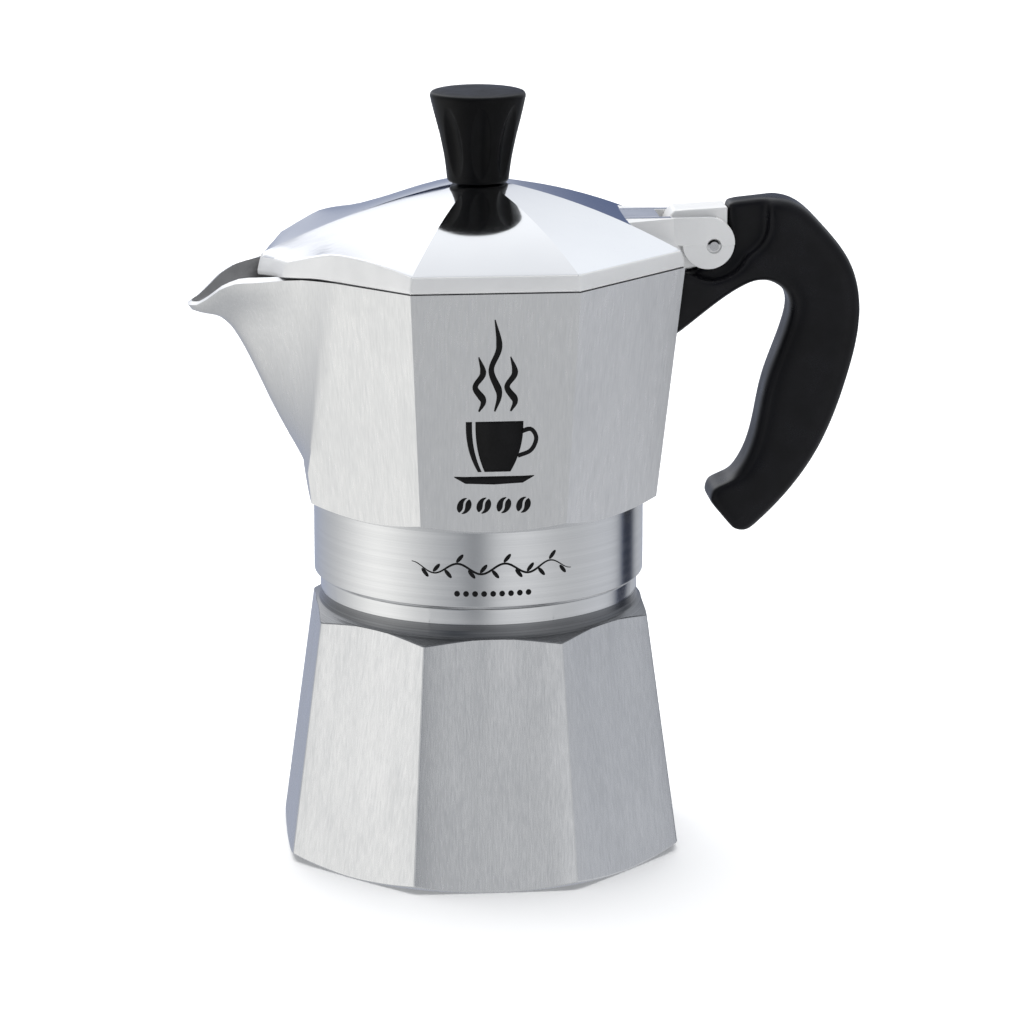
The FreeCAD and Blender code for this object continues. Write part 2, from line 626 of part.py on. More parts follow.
PIECES = {
    "boiler": make_boiler,
    "valve_body": make_valve_body,
    "valve_washer": make_valve_washer,
    "valve_nut": make_valve_nut,
    "valve_cap": make_valve_cap,
    "valve_plunger": make_valve_plunger,
    "valve_spring": make_valve_spring,
    "funnel": make_funnel,
    "funnel_screen": make_funnel_screen,
    "gasket": make_gasket,
    "filter_plate": make_filter_plate,
    "upper_chamber": make_upper_chamber,
    "riser_column": make_riser_column,
    "handle": make_handle,
    "handle_screw": make_handle_screw,
    "hinge_pin": make_hinge_pin,
    "lid": make_lid,
    "knob": make_knob,
    "knob_insert": make_knob_insert,
    "knob_screw": make_knob_screw,
    "knob_washer": make_knob_washer,
}

os.makedirs("parts", exist_ok=True)
for node, make in PIECES.items():
    shape = make()
    solids = shape.Solids
    shape = solids[0] if len(solids) == 1 else Part.makeCompound(solids)
    shape.exportStep("parts/" + node + ".step")
    print(node, len(solids), shape.isValid(), round(shape.Volume, 1))
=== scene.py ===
import math

import bmesh
import bpy
import numpy as np
from mathutils import Matrix, Vector


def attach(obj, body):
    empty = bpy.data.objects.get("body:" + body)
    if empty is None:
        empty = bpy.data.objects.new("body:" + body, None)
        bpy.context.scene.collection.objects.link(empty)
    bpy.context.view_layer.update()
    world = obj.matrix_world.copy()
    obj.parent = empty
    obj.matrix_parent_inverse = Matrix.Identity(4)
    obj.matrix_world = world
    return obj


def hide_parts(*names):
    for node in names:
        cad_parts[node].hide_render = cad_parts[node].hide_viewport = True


# A three-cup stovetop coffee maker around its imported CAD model. Lengths are in millimetres and
# become metres in add_mesh(). Spout towards -X, handle towards +X, the octagon's flats face
# 0, 45, 90 ... degrees.

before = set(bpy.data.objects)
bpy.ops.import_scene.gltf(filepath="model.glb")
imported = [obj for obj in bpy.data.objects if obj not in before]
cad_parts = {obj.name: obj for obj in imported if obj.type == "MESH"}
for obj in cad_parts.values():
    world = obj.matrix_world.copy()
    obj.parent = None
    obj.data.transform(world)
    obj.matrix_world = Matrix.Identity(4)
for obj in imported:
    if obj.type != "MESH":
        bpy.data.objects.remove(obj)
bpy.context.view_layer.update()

MM = 0.001
EIGHTH = math.radians(22.5)
FLAT_SHARE = math.cos(EIGHTH)        # an octagon's flat radius over its corner radius

# --- boiler ---
BOILER_CORNER = 45.9
BOILER_TAPER = 0.144
BOILER_EDGE_ROUND = 0.018            # of the corner radius
BOILER_CROWN = 0.006                 # how far a flat falls away at its edges, of the same radius
BOILER_CROWN_POWER = 12
FOOT_RADIUS = 41.95
FOOT_CHAMFER = 1.8
FOOT_RECESS = 0.5
SHOULDER_RADIUS = 35.3
SHOULDER_Z = 53.9
SHOULDER_SLOPE = 0.4516
NECK_RING_RADIUS = 34.4
NECK_RING_TOP = 60.2
NECK_TOP = 69.0
NECK_BORE = 27.6
BOILER_WALL = 3.0
BOILER_FLOOR = 3.2
CAVITY_TOP = 50.0
VALVE_Z = 34.0
VALVE_FACE_Y = 40.6
VALVE_BOSS_RADIUS = 8.0
VALVE_SHANK_RADIUS = 4.6

# --- thread ---
THREAD_PITCH = 3.0
THREAD_CORE = 32.4
THREAD_DEPTH = 0.9
THREAD_CLEARANCE = 0.3
THREAD_BOTTOM = 62.0
THREAD_LENGTH = 5.2
THREAD_HALF_BASE = 0.7
THREAD_HALF_CREST = 0.35

# --- upper chamber ---
COLLAR_RADIUS = 35.7
COLLAR_BOTTOM = 60.4
COLLAR_TOP = 77.1
CHAMBER_CORNER = 45.9
CHAMBER_TAPER = 0.1176
CHAMBER_TOP = 129.4
CHAMBER_WALL = 2.5
UNDERSIDE_SLOPE = 0.5
CHAMBER_FLOOR = 80.4
FLANGE_ROOM = 32.5
RECESS_TOP = 74.1
COLUMN_RADIUS = 4.6

SPOUT_START = 86.0
SPOUT_FOOT_TOP = (-32.4, 28.0)       # where the spout's side leaves the flat, at the rim
SPOUT_KEEL = [
    (-37.9, 86.0), (-41.4, 92.1), (-44.6, 98.4), (-47.7, 105.2), (-50.3, 110.6), (-52.8, 114.8),
    (-54.8, 116.8), (-56.4, 117.7), (-59.0, 118.2), (-61.4, 118.9), (-62.3, 120.1),
]
LIP = [
    (-32.4, 129.4), (-38.7, 128.8), (-43.4, 127.9), (-47.9, 126.9), (-52.1, 126.3),
    (-55.3, 124.8), (-58.1, 122.3), (-60.4, 120.6), (-62.3, 120.1),
]

# --- hinge and lug ---
PIN_X = 50.1
PIN_Z = 131.7
LUG_HALF_WIDTH = 4.0
EAR_INNER = 4.3
EAR_OUTER = 6.5
EAR_X = 48.9
EAR_Z = 132.3
EAR_RADIUS = 5.7
NOTCH_RADIUS = 13.2                  # the lid's notch for the lug, about the pin
EAR_STEP = 0.2                       # the round ear sits this much behind the arm's face
PIN_SINK_RADIUS = 1.55
PIN_SINK_DEPTH = 0.6
ARM_START_X = 30.5
ARM_TOP_Z = EAR_Z + EAR_RADIUS
ARM_LOW_Z = 131.8
ARM_START_LOW_Z = 137.6              # inside the lid's skin, so nothing shows from below
FLARE_END_X = 41.5
FLARE_OUT = 4.2
FLARE_LOW_Z = 132.4
LUG_START_X = 41.0
LUG_END_X = 53.3
LUG_TOP_Z = 139.8
LUG_SWING_RADIUS = 11.2              # the lug's front corner is rounded about the pin

# --- lid and knob ---
LID_BOTTOM_CORNER = 45.8
LID_TOP_CORNER = 45.0
LID_SEAT = 145.45
LID_SKIN = 2.0
RIM_WALL = 2.3
RIM_LOW_BAND = 1.2                   # upright part of the rim's foot
RIM_INNER_TOP = 131.4
DOME_TOP = 146.4
DOME_SLOPE = 0.11
DOME_CURVE = 0.0042
BEAK = [(-42.3, 17.5), (-46.4, 3.4), (-47.0, 1.6), (-47.2, 0.0)]
BEAK_BOTTOM = [(-47.2, 126.1), (-42.3, 128.6), (-36.0, 129.5)]
# Beak side of the lid, by distance from the axis along X: height of the rim's top edge, height
# of the ridge, how steeply the panels leave the ridge, and how soft the ridge is.
RIM_TOP = [
    (17.2, 132.9), (20.0, 133.75), (25.0, 134.75), (29.0, 135.15), (31.5, 135.2), (33.5, 134.95),
    (37.0, 133.75), (40.0, 132.6), (42.3, 131.75), (44.8, 130.75), (46.4, 130.05), (47.5, 129.95),
]
RIDGE = [
    (0.0, 146.3), (6.5, 144.85), (13.4, 143.1), (20.9, 140.85), (29.9, 137.8), (38.9, 134.1),
    (44.0, 131.7), (47.5, 130.35),
]
RIDGE_FALL = [(0.0, 0.0), (8.0, 0.025), (27.0, 0.07), (36.0, 0.06), (42.0, 0.03), (48.0, 0.03)]
RIDGE_SOFT = [(0.0, 2.0), (12.0, 1.0), (25.0, 0.2), (48.0, 0.1)]
# Where along each spoke of the lid, from the rim to the axis, its rings of points lie.
LID_LEVELS = [
    1.0, 0.98, 0.95, 0.91, 0.86, 0.80, 0.73, 0.66, 0.58, 0.50, 0.42, 0.35, 0.29, 0.23, 0.17, 0.1, 0.0,
]
KNOB_PROFILE = [
    (6.3, 145.7), (6.6, 146.2), (6.75, 147.4), (7.3, 150.7), (8.1, 154.6), (9.15, 159.1),
    (10.1, 163.4), (10.2, 164.2), (9.9, 164.75), (9.2, 164.95),
]
SCOOPS = 8
SCOOP_MIDDLE_Z = 154.8
SCOOP_HALF_LENGTH = 7.9
SCOOP_HALF_WIDTH = 2.15
SCOOP_DEPTH = 1.0

# --- printed ornaments ---
PRINT_UNDER = -0.10                  # the print's lower and upper face, from the metal's face
PRINT_OVER = 0.04
STEAM_BOTTOM = 104.2
CUP_TOP = 102.0
CUP_HEIGHT = 11.0
CUP_HALF_WIDTH = 6.0
BEAN_ROW_Z = 83.6
STEM_Z = 69.4
STEM_WAVE = 1.1
STEM_HALF_LENGTH = 17.5
DOT_ROW_Z = 64.0


# === Mesh helpers ===

def add_mesh(name, points, faces, body, materials):
    """A mesh object from millimetre points, with doubles merged and normals facing outwards."""
    mesh = bpy.data.meshes.new(name)
    mesh.from_pydata([Vector(p) * MM for p in points], [], faces)
    work = bmesh.new()
    work.from_mesh(mesh)
    bmesh.ops.remove_doubles(work, verts=work.verts, dist=2e-6)
    bmesh.ops.dissolve_degenerate(work, edges=work.edges, dist=1e-7)
    bmesh.ops.recalc_face_normals(work, faces=work.faces)
    for face in work.faces:
        face.smooth = True
    work.to_mesh(mesh)
    work.free()
    obj = bpy.data.objects.new(name, mesh)
    bpy.context.scene.collection.objects.link(obj)
    for material in materials:
        mesh.materials.append(material)
    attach(obj, body)
    return obj


def grid_faces(columns, rows, wrap_columns, wrap_rows):
    """Quads of a grid whose points are listed row by row."""
    faces = []
    for row in range(rows if wrap_rows else rows - 1):
        for column in range(columns if wrap_columns else columns - 1):
            right = (column + 1) % columns
            above = (row + 1) % rows
            faces.append((
                row * columns + column, row * columns + right,
                above * columns + right, above * columns + column,
            ))
    return faces


def rounded(profile, radii, steps=3):
    """An open polyline with its inner corners rounded; the number of points depends on radii only."""
    points = [np.array(p, float) for p in profile]
    result = [points[0]]
    for before, here, after, radius in zip(points, points[1:], points[2:], radii):
        if radius == 0:
            result.append(here)
            continue
        back = before - here
        ahead = after - here
        back_length = max(np.linalg.norm(back), 1e-6)
        ahead_length = max(np.linalg.norm(ahead), 1e-6)
        cosine = np.clip(back @ ahead / (back_length * ahead_length), -0.9999, 0.9999)
        cut = radius / math.tan(0.5 * math.acos(cosine))
        cut = min(cut, 0.45 * back_length, 0.45 * ahead_length)
        start = here + back * cut / back_length
        end = here + ahead * cut / ahead_length
        for s in np.linspace(0, 1, steps + 1):
            result.append((1 - s) ** 2 * start + 2 * s * (1 - s) * here + s * s * end)
    result.append(points[-1])
    return result


def smooth_path(points, count):
    """Points evenly spaced along a Catmull-Rom curve through the given ones."""
    points = np.array(points, float)
    padded = np.vstack([2 * points[0] - points[1], points, 2 * points[-1] - points[-2]])
    dense = []
    for a, b, c, d in zip(padded, padded[1:], padded[2:], padded[3:]):
        for s in np.linspace(0, 1, 24, endpoint=False):
            dense.append(0.5 * (2 * b + (c - a) * s + (2 * a - 5 * b + 4 * c - d) * s ** 2
                                + (3 * b - a - 3 * c + d) * s ** 3))
    dense.append(points[-1])
    dense = np.array(dense)
    length = np.concatenate([[0], np.cumsum(np.linalg.norm(np.diff(dense, axis=0), axis=1))])
    at = np.linspace(0, length[-1], count)
    return np.stack([np.interp(at, length, dense[:, k]) for k in range(dense.shape[1])], 1)


def add_modifier(obj, kind, **settings):
    modifier = obj.modifiers.new(kind.title(), kind)
    for key, value in settings.items():
        setattr(modifier, key, value)
    return modifier


def weigh_normals(obj):
    add_modifier(obj, "WEIGHTED_NORMAL", weight=80, keep_sharp=True)


def soften_edges(obj, width, angle=30):
    """Rounds the sharp edges by a width in mm, and keeps the shading of flat faces flat."""
    add_modifier(obj, "BEVEL", width=width * MM, segments=3, limit_method="ANGLE",
                 angle_limit=math.radians(angle), harden_normals=False)
    weigh_normals(obj)


def paint(obj, rule):
    """Give each face the material whose index rule(centre in mm, normal) returns."""
    for face in obj.data.polygons:
        face.material_index = rule(face.center / MM, face.normal)


def lathe(name, profile, body, materials, columns=128, radius=None, closed=True):
    """A turned piece from an (r, z) profile. radius(angle, r, z) may reshape each point."""
    points = []
    for r, z in profile:
        for angle in np.linspace(0, 2 * math.pi, columns, endpoint=False):
            here = radius(angle, r, z) if radius else r
            points.append((here * math.cos(angle), here * math.sin(angle), z))
    faces = grid_faces(columns, len(profile), True, closed)
    return add_mesh(name, points, faces, body, materials)


def slab(name, outline, low, high, body, materials):
    """A flat piece from a closed (x, z) outline between two values of y."""
    count = len(outline)
    points = [(x, low, z) for x, z in outline] + [(x, high, z) for x, z in outline]
    faces = [tuple(range(count)), tuple(range(2 * count - 1, count - 1, -1))]
    faces += [(k, (k + 1) % count, count + (k + 1) % count, count + k) for k in range(count)]
    return add_mesh(name, points, faces, body, materials)


def cut_away(obj, *cutters):
    """Takes other closed meshes out of a mesh and removes them."""
    for cutter in cutters:
        modifier = add_modifier(obj, "BOOLEAN", operation="DIFFERENCE", solver="EXACT", object=cutter)
        bpy.context.view_layer.update()
        evaluated = obj.evaluated_get(bpy.context.evaluated_depsgraph_get())
        obj.data = bpy.data.meshes.new_from_object(evaluated)
        obj.modifiers.remove(modifier)
        bpy.data.objects.remove(cutter)


def arc(x, z, radius, start, end, count):
    angles = np.radians(np.linspace(start, end, count))
    return [(x + radius * math.cos(a), z + radius * math.sin(a)) for a in angles]


def table(pairs, value):
    """Straight-line lookup in (place, value) pairs sorted by place."""
    return float(np.interp(value, [p[0] for p in pairs], [p[1] for p in pairs]))


def mirrored(half):
    """Columns from 0 to 180 degrees, and the same ones mirrored in Y for the other side."""
    other = [[(x, -y, z) for x, y, z in column] for column in half[-2:0:-1]]
    return half + other


def add_columns(name, columns, wrap_rows, body, materials):
    rows = len(columns[0])
    points = [column[row] for row in range(rows) for column in columns]
    faces = grid_faces(len(columns), rows, True, wrap_rows)
    return add_mesh(name, points, faces, body, materials)


# === Materials ===

class Look:
    """Short names for building one node material around a Principled shader."""

    def __init__(self, name, color, roughness, **fixed):
        self.material = bpy.data.materials.new(name)
        self.material.use_nodes = True
        self.tree = self.material.node_tree
        self.shader = self.tree.nodes["Principled BSDF"]
        self.shader.inputs["Base Color"].default_value = (*color, 1)
        self.shader.inputs["Roughness"].default_value = roughness
        for key, value in fixed.items():
            self.shader.inputs[key.replace("_", " ")].default_value = value
        self.place = self.node("ShaderNodeTexCoord").outputs["Object"]

    def node(self, kind, **settings):
        made = self.tree.nodes.new(kind)
        for key, value in settings.items():
            setattr(made, key, value)
        return made

    def link(self, output, target):
        self.tree.links.new(output, target)

    def math(self, operation, a, b=0.0):
        made = self.node("ShaderNodeMath", operation=operation)
        for index, value in enumerate((a, b)):
            if isinstance(value, (int, float)):
                made.inputs[index].default_value = value
            else:
                self.link(value, made.inputs[index])
        return made.outputs[0]

    def noise(self, scale, stretch=(1, 1, 1), detail=4.0, rough=0.55, place=None):
        mapping = self.node("ShaderNodeMapping")
        mapping.inputs["Scale"].default_value = stretch
        self.link(place or self.place, mapping.inputs["Vector"])
        made = self.node("ShaderNodeTexNoise")
        made.inputs["Scale"].default_value = scale
        made.inputs["Detail"].default_value = detail
        made.inputs["Roughness"].default_value = rough
        self.link(mapping.outputs[0], made.inputs["Vector"])
        return made.outputs["Fac"]

    def spread(self, value, low, high, out_low, out_high):
        made = self.node("ShaderNodeMapRange", clamp=True)
        for index, number in enumerate((low, high, out_low, out_high)):
            made.inputs[index + 1].default_value = number
        self.link(value, made.inputs[0])
        return made.outputs[0]

    def radial(self):
        """(distance from the axis, 0, height), for rings left by a lathe."""
        split = self.node("ShaderNodeSeparateXYZ")
        self.link(self.place, split.inputs[0])
        squares = [self.math("MULTIPLY", split.outputs[k], split.outputs[k]) for k in (0, 1)]
        radius = self.math("SQRT", self.math("ADD", *squares))
        joined = self.node("ShaderNodeCombineXYZ")
        self.link(radius, joined.inputs[0])
        self.link(split.outputs[2], joined.inputs[2])
        return joined.outputs[0]

    def tint(self, value, dark, light):
        """Base colour from dark to light as value goes from 0 to 1."""
        ramp = self.node("ShaderNodeValToRGB")
        ramp.color_ramp.elements[0].color = (*dark, 1)
        ramp.color_ramp.elements[1].color = (*light, 1)
        self.link(value, ramp.inputs[0])
        self.link(ramp.outputs[0], self.shader.inputs["Base Color"])

    def rough(self, value):
        self.link(value, self.shader.inputs["Roughness"])

    def bump(self, value, distance, strength=1.0, after=None):
        made = self.node("ShaderNodeBump")
        made.inputs["Distance"].default_value = distance * MM
        made.inputs["Strength"].default_value = strength
        self.link(value, made.inputs["Height"])
        if after:
            self.link(after, made.inputs["Normal"])
        self.link(made.outputs[0], self.shader.inputs["Normal"])
        return made.outputs[0]

    def tangent_around_z(self):
        made = self.node("ShaderNodeTangent", direction_type="RADIAL", axis="Z")
        self.link(made.outputs[0], self.shader.inputs["Tangent"])


def brushed_aluminium(name, light, dark, roughness, line_bump):
    """Flats rubbed along their height: fine upright lines, faint blotches."""
    look = Look(name, light, roughness, Metallic=1.0, Anisotropic=0.15)
    look.tangent_around_z()
    lines = look.noise(2600, (1, 1, 0.012), 4)
    streaks = look.noise(420, (1, 1, 0.03), 3)
    blotches = look.noise(55, (1, 1, 0.6), 4, 0.6)
    mixed = look.math("ADD", look.math("MULTIPLY", lines, 0.55), look.math("MULTIPLY", streaks, 0.2))
    mixed = look.math("ADD", mixed, look.math("MULTIPLY", blotches, 0.25))
    look.tint(look.spread(mixed, 0.36, 0.64, 0, 1), dark, light)
    look.rough(look.spread(mixed, 0.35, 0.65, roughness + 0.06, roughness - 0.05))
    fine = look.bump(lines, line_bump)
    look.bump(blotches, 0.05, 0.5, after=fine)
    return look.material


def turned_metal(name, light, dark, roughness, line_bump, anisotropy):
    """Surfaces cut on a lathe: rings around the axis."""
    look = Look(name, light, roughness, Metallic=1.0, Anisotropic=anisotropy, Anisotropic_Rotation=0.25)
    look.tangent_around_z()
    axis = look.radial()
    rings = look.noise(3600, (1, 1, 1), 3, 0.6, place=axis)
    broad = look.noise(800, (1, 1, 1), 2, 0.5, place=axis)
    blotches = look.noise(60, (1, 1, 0.7), 4)
    mixed = look.math("ADD", look.math("MULTIPLY", rings, 0.5), look.math("MULTIPLY", broad, 0.3))
    mixed = look.math("ADD", mixed, look.math("MULTIPLY", blotches, 0.2))
    look.tint(look.spread(mixed, 0.36, 0.64, 0, 1), dark, light)
    look.rough(look.spread(mixed, 0.35, 0.65, roughness + 0.05, roughness - 0.04))
    look.bump(rings, line_bump)
    return look.material


def cast_aluminium(name, light, dark, roughness, grain):
    """Cast and tumbled metal: a soft, slightly pebbled satin."""
    look = Look(name, light, roughness, Metallic=0.62)
    pebbles = look.noise(1100, (1, 1, 1), 3)
    clouds = look.noise(90, (1, 1, 1), 5, 0.6)
    look.tint(look.spread(clouds, 0.3, 0.7, 0, 1), dark, light)
    look.rough(look.spread(clouds, 0.3, 0.7, roughness + 0.07, roughness - 0.06))
    fine = look.bump(pebbles, grain)
    look.bump(clouds, 0.06, 0.4, after=fine)
    return look.material


def polished_aluminium(name, light, dark, roughness):
    """Buffed metal: close to a mirror, with faint hairlines and a slight haze."""
    look = Look(name, light, roughness, Metallic=1.0)
    hairlines = look.noise(700, (0.05, 1, 1), 4)
    haze = look.noise(40, (1, 1, 1), 4, 0.6)
    look.tint(look.spread(haze, 0.3, 0.7, 0, 1), dark, light)
    look.rough(look.spread(haze, 0.3, 0.7, roughness + 0.05, roughness - 0.03))
    fine = look.bump(hairlines, 0.004)
    look.bump(haze, 0.05, 0.5, after=fine)
    return look.material


def moulded_plastic(name, light, dark, roughness, specular=0.5):
    """Black phenolic: satin, with a fine grain and faint handling marks."""
    look = Look(name, light, roughness, Specular_IOR_Level=specular, IOR=1.5)
    grain = look.noise(1400, (1, 1, 1), 3)
    marks = look.noise(130, (1, 1, 1), 5, 0.65)
    look.tint(look.spread(marks, 0.35, 0.65, 0, 1), dark, light)
    look.rough(look.spread(marks, 0.3, 0.7, roughness + 0.08, roughness - 0.06))
    fine = look.bump(grain, 0.01)
    look.bump(marks, 0.03, 0.5, after=fine)
    return look.material


# name, light and dark colour, roughness, depth of the lines or grain in mm, anisotropy
BRUSHED = brushed_aluminium(
    "aluminium_brushed", (0.90, 0.90, 0.905), (0.76, 0.765, 0.775), 0.27, 0.018)
BRUSHED_UPPER = brushed_aluminium(
    "aluminium_brushed_fine", (0.90, 0.90, 0.90), (0.80, 0.805, 0.81), 0.30, 0.008)
TURNED = turned_metal(
    "aluminium_turned", (0.90, 0.905, 0.91), (0.80, 0.805, 0.815), 0.19, 0.002, 0.8)
# A dark copy of the turned aluminium for the boiler's shoulder and ring foot: painted shade.
TURNED_PAINTED_SHADE = turned_metal(
    "aluminium_turned_painted_shade", (0.30, 0.305, 0.315), (0.17, 0.173, 0.18), 0.28, 0.012, 0.5)
BRASS = turned_metal("brass", (0.83, 0.62, 0.30), (0.62, 0.45, 0.20), 0.30, 0.006, 0.2)
STEEL = turned_metal("steel", (0.72, 0.72, 0.73), (0.55, 0.55, 0.57), 0.28, 0.005, 0.2)
CAST = cast_aluminium("aluminium_cast", (0.96, 0.96, 0.955), (0.90, 0.90, 0.895), 0.46, 0.02)
# A dark copy of the cast aluminium for insides and inner parts: painted shade.
CAST_PAINTED_SHADE = cast_aluminium(
    "aluminium_inside_painted_shade", (0.36, 0.36, 0.365), (0.24, 0.24, 0.245), 0.40, 0.03)
POLISHED = polished_aluminium("aluminium_polished", (0.95, 0.955, 0.96), (0.92, 0.925, 0.935), 0.07)
# name, light and dark colour, roughness, specular level
PLASTIC = moulded_plastic("plastic_black", (0.004, 0.004, 0.006), (0.002, 0.002, 0.003), 0.30, 0.24)
KNOB_PLASTIC = moulded_plastic(
    "plastic_knob", (0.003, 0.003, 0.004), (0.001, 0.001, 0.001), 0.34, 0.15)
RUBBER = moulded_plastic("rubber", (0.75, 0.72, 0.66), (0.62, 0.59, 0.53), 0.60)
INK = moulded_plastic("ink", (0.005, 0.005, 0.006), (0.003, 0.003, 0.003), 0.5, 0.2)


# === Boiler ===

def corner_arc(edge_round):
    """Distance of a rounded corner's centre from the axis, and half the angle its arc covers."""
    centre = 1 - edge_round / FLAT_SHARE
    return centre, math.atan2(edge_round * math.sin(EIGHTH), centre + edge_round * FLAT_SHARE)


def octagon_share(angle, edge_round):
    """Radius of an octagon with rounded corners at an angle, over its corner radius."""
    off_flat = (angle + EIGHTH) % (2 * EIGHTH) - EIGHTH
    off_corner = EIGHTH - abs(off_flat)
    centre, reach = corner_arc(edge_round)
    if off_corner >= reach:
        return FLAT_SHARE / math.cos(off_flat)
    across = centre * math.sin(off_corner)
    return centre * math.cos(off_corner) + math.sqrt(edge_round ** 2 - across ** 2)


def octagon_angles(edge_round, per_flat):
    """Angles of columns around the boiler: evenly along each flat, and three per corner."""
    reach = corner_arc(edge_round)[1]
    edge = math.tan(EIGHTH - reach)
    angles = []
    for flat in range(8):
        middle = 2 * EIGHTH * flat
        angles += [middle + math.atan(edge * t) for t in np.linspace(-1, 1, per_flat)]
        angles += [middle + EIGHTH + reach * s for s in (-0.5, 0.0, 0.5)]
    return angles


def ridge(angle, z, bottom):
    """Height of a thread ridge, 0 to 1, at an angle and height."""
    turn = (angle % (2 * math.pi)) / (2 * math.pi)
    best = 0.0
    for wind in range(3):
        centre = bottom + THREAD_PITCH * (turn + wind)
        if centre > bottom + THREAD_LENGTH:
            continue
        slope = THREAD_HALF_BASE - THREAD_HALF_CREST
        best = max(best, min(1.0, (THREAD_HALF_BASE - abs(z - centre)) / slope))
    return max(0.0, best)


def boiler_column(angle):
    off_flat = (angle + EIGHTH) % (2 * EIGHTH) - EIGHTH
    crown = BOILER_CROWN * abs(off_flat / EIGHTH) ** BOILER_CROWN_POWER
    share = octagon_share(angle, BOILER_EDGE_ROUND) * (1 - crown)
    foot_flare = (BOILER_CORNER - BOILER_TAPER * FOOT_CHAMFER - FOOT_RADIUS) / FOOT_CHAMFER
    foot_z = (share * BOILER_CORNER - FOOT_RADIUS) / (foot_flare + share * BOILER_TAPER)
    shoulder_z = (SHOULDER_RADIUS + SHOULDER_Z / SHOULDER_SLOPE - share * BOILER_CORNER) / (
        1 / SHOULDER_SLOPE - share * BOILER_TAPER)

    def side(z, inset=0.0):
        return share * (BOILER_CORNER - inset - BOILER_TAPER * z)

    shoulder_r = max(side(shoulder_z), SHOULDER_RADIUS + 0.12)
    bore = NECK_BORE
    outline = [
        (0, FOOT_RECESS), (20, FOOT_RECESS), (33, FOOT_RECESS), (34, 0), (FOOT_RADIUS, 0),
        (side(foot_z), foot_z), (side(20), 20), (side(38), 38), (shoulder_r, shoulder_z),
        (SHOULDER_RADIUS, SHOULDER_Z), (SHOULDER_RADIUS - 0.6, SHOULDER_Z + 0.4),
        (NECK_RING_RADIUS, SHOULDER_Z + 1.6), (NECK_RING_RADIUS, SHOULDER_Z + 3.0),
        (NECK_RING_RADIUS - 0.12, SHOULDER_Z + 3.15), (NECK_RING_RADIUS, SHOULDER_Z + 3.3),
        (NECK_RING_RADIUS, NECK_RING_TOP), (THREAD_CORE, NECK_RING_TOP + 0.6),
    ]
    radii = [0, 0, 0.3, 0.3, 0.5, 0, 0, 0.55, 0.2, 0.4, 0.4, 0, 0, 0, 0.35]
    lower = rounded(outline, radii)
    thread = []
    for z in np.arange(NECK_RING_TOP + 0.8, NECK_TOP - 0.5, 0.25):
        thread.append((THREAD_CORE + THREAD_DEPTH * ridge(angle, z, THREAD_BOTTOM), z))
    inner = [
        (THREAD_CORE, NECK_TOP - 0.5), (THREAD_CORE - 0.5, NECK_TOP), (bore + 0.3, NECK_TOP),
        (bore, NECK_TOP - 0.3), (bore, CAVITY_TOP), (min(34.6, side(45, BOILER_WALL)), 45),
        (side(24, BOILER_WALL), 24), (side(7, BOILER_WALL), 7), (37.0 * share, BOILER_FLOOR),
        (20, BOILER_FLOOR), (0, BOILER_FLOOR),
    ]
    upper = rounded(inner, [0.2, 0.2, 0.2, 0.8, 1.5, 0, 1.5, 1.0, 0])
    profile = [tuple(p) for p in lower] + thread + [tuple(p) for p in upper]
    return [(r * math.cos(angle), r * math.sin(angle), z) for r, z in profile]


def boiler_zone(centre, normal):
    radius = math.hypot(centre.x, centre.y)
    outside = centre.x * normal.x + centre.y * normal.y > 0
    on_shoulder = normal.z > 0.5 and centre.z < SHOULDER_Z + 1.0 and radius > NECK_RING_RADIUS
    on_ring_foot = SHOULDER_Z - 0.1 < centre.z < SHOULDER_Z + 3.05 and radius > NECK_RING_RADIUS - 0.3
    # Shoulder and ring foot take the dark turned copy: painted shade.
    if on_shoulder or on_ring_foot:
        return 3
    if centre.z < 0.6 or centre.z > SHOULDER_Z + 0.2:
        return 1
    # Inside faces take the dark cast copy: painted shade.
    return 0 if outside else 2


boiler_columns = [boiler_column(angle) for angle in octagon_angles(BOILER_EDGE_ROUND, 15)]
boiler = add_columns("boiler_shell", boiler_columns, False, "boiler",
                     [BRUSHED, TURNED, CAST_PAINTED_SHADE, TURNED_PAINTED_SHADE])
paint(boiler, boiler_zone)
weigh_normals(boiler)
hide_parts("boiler")

# The machined boss around the safety valve, turned about Z and then laid along +Y.
boss_profile = rounded([
    (VALVE_SHANK_RADIUS, 5.5), (VALVE_SHANK_RADIUS, 0), (VALVE_BOSS_RADIUS, 0),
    (VALVE_BOSS_RADIUS + 0.6, 5.5), (VALVE_SHANK_RADIUS, 5.5)], [0.2, 0.5, 0])
boss = lathe("boiler_valve_boss", boss_profile[:-1], "boiler", [TURNED], 64)
laid_down = Matrix.Rotation(math.pi / 2, 4, "X")
boss.data.transform(Matrix.Translation((0, VALVE_FACE_Y * MM, VALVE_Z * MM)) @ laid_down)
weigh_normals(boss)


# === Upper chamber ===

def chamber_corner(z):
    return CHAMBER_CORNER - CHAMBER_TAPER * (CHAMBER_TOP - z)


def parabola(values, t):
    """Through three values at t = 0, 0.5 and 1."""
    a, b, c = values
    return a * (2 * t - 1) * (t - 1) + 4 * b * t * (1 - t) + c * t * (2 * t - 1)


def lip_height(x):
    return table(LIP[::-1], x)


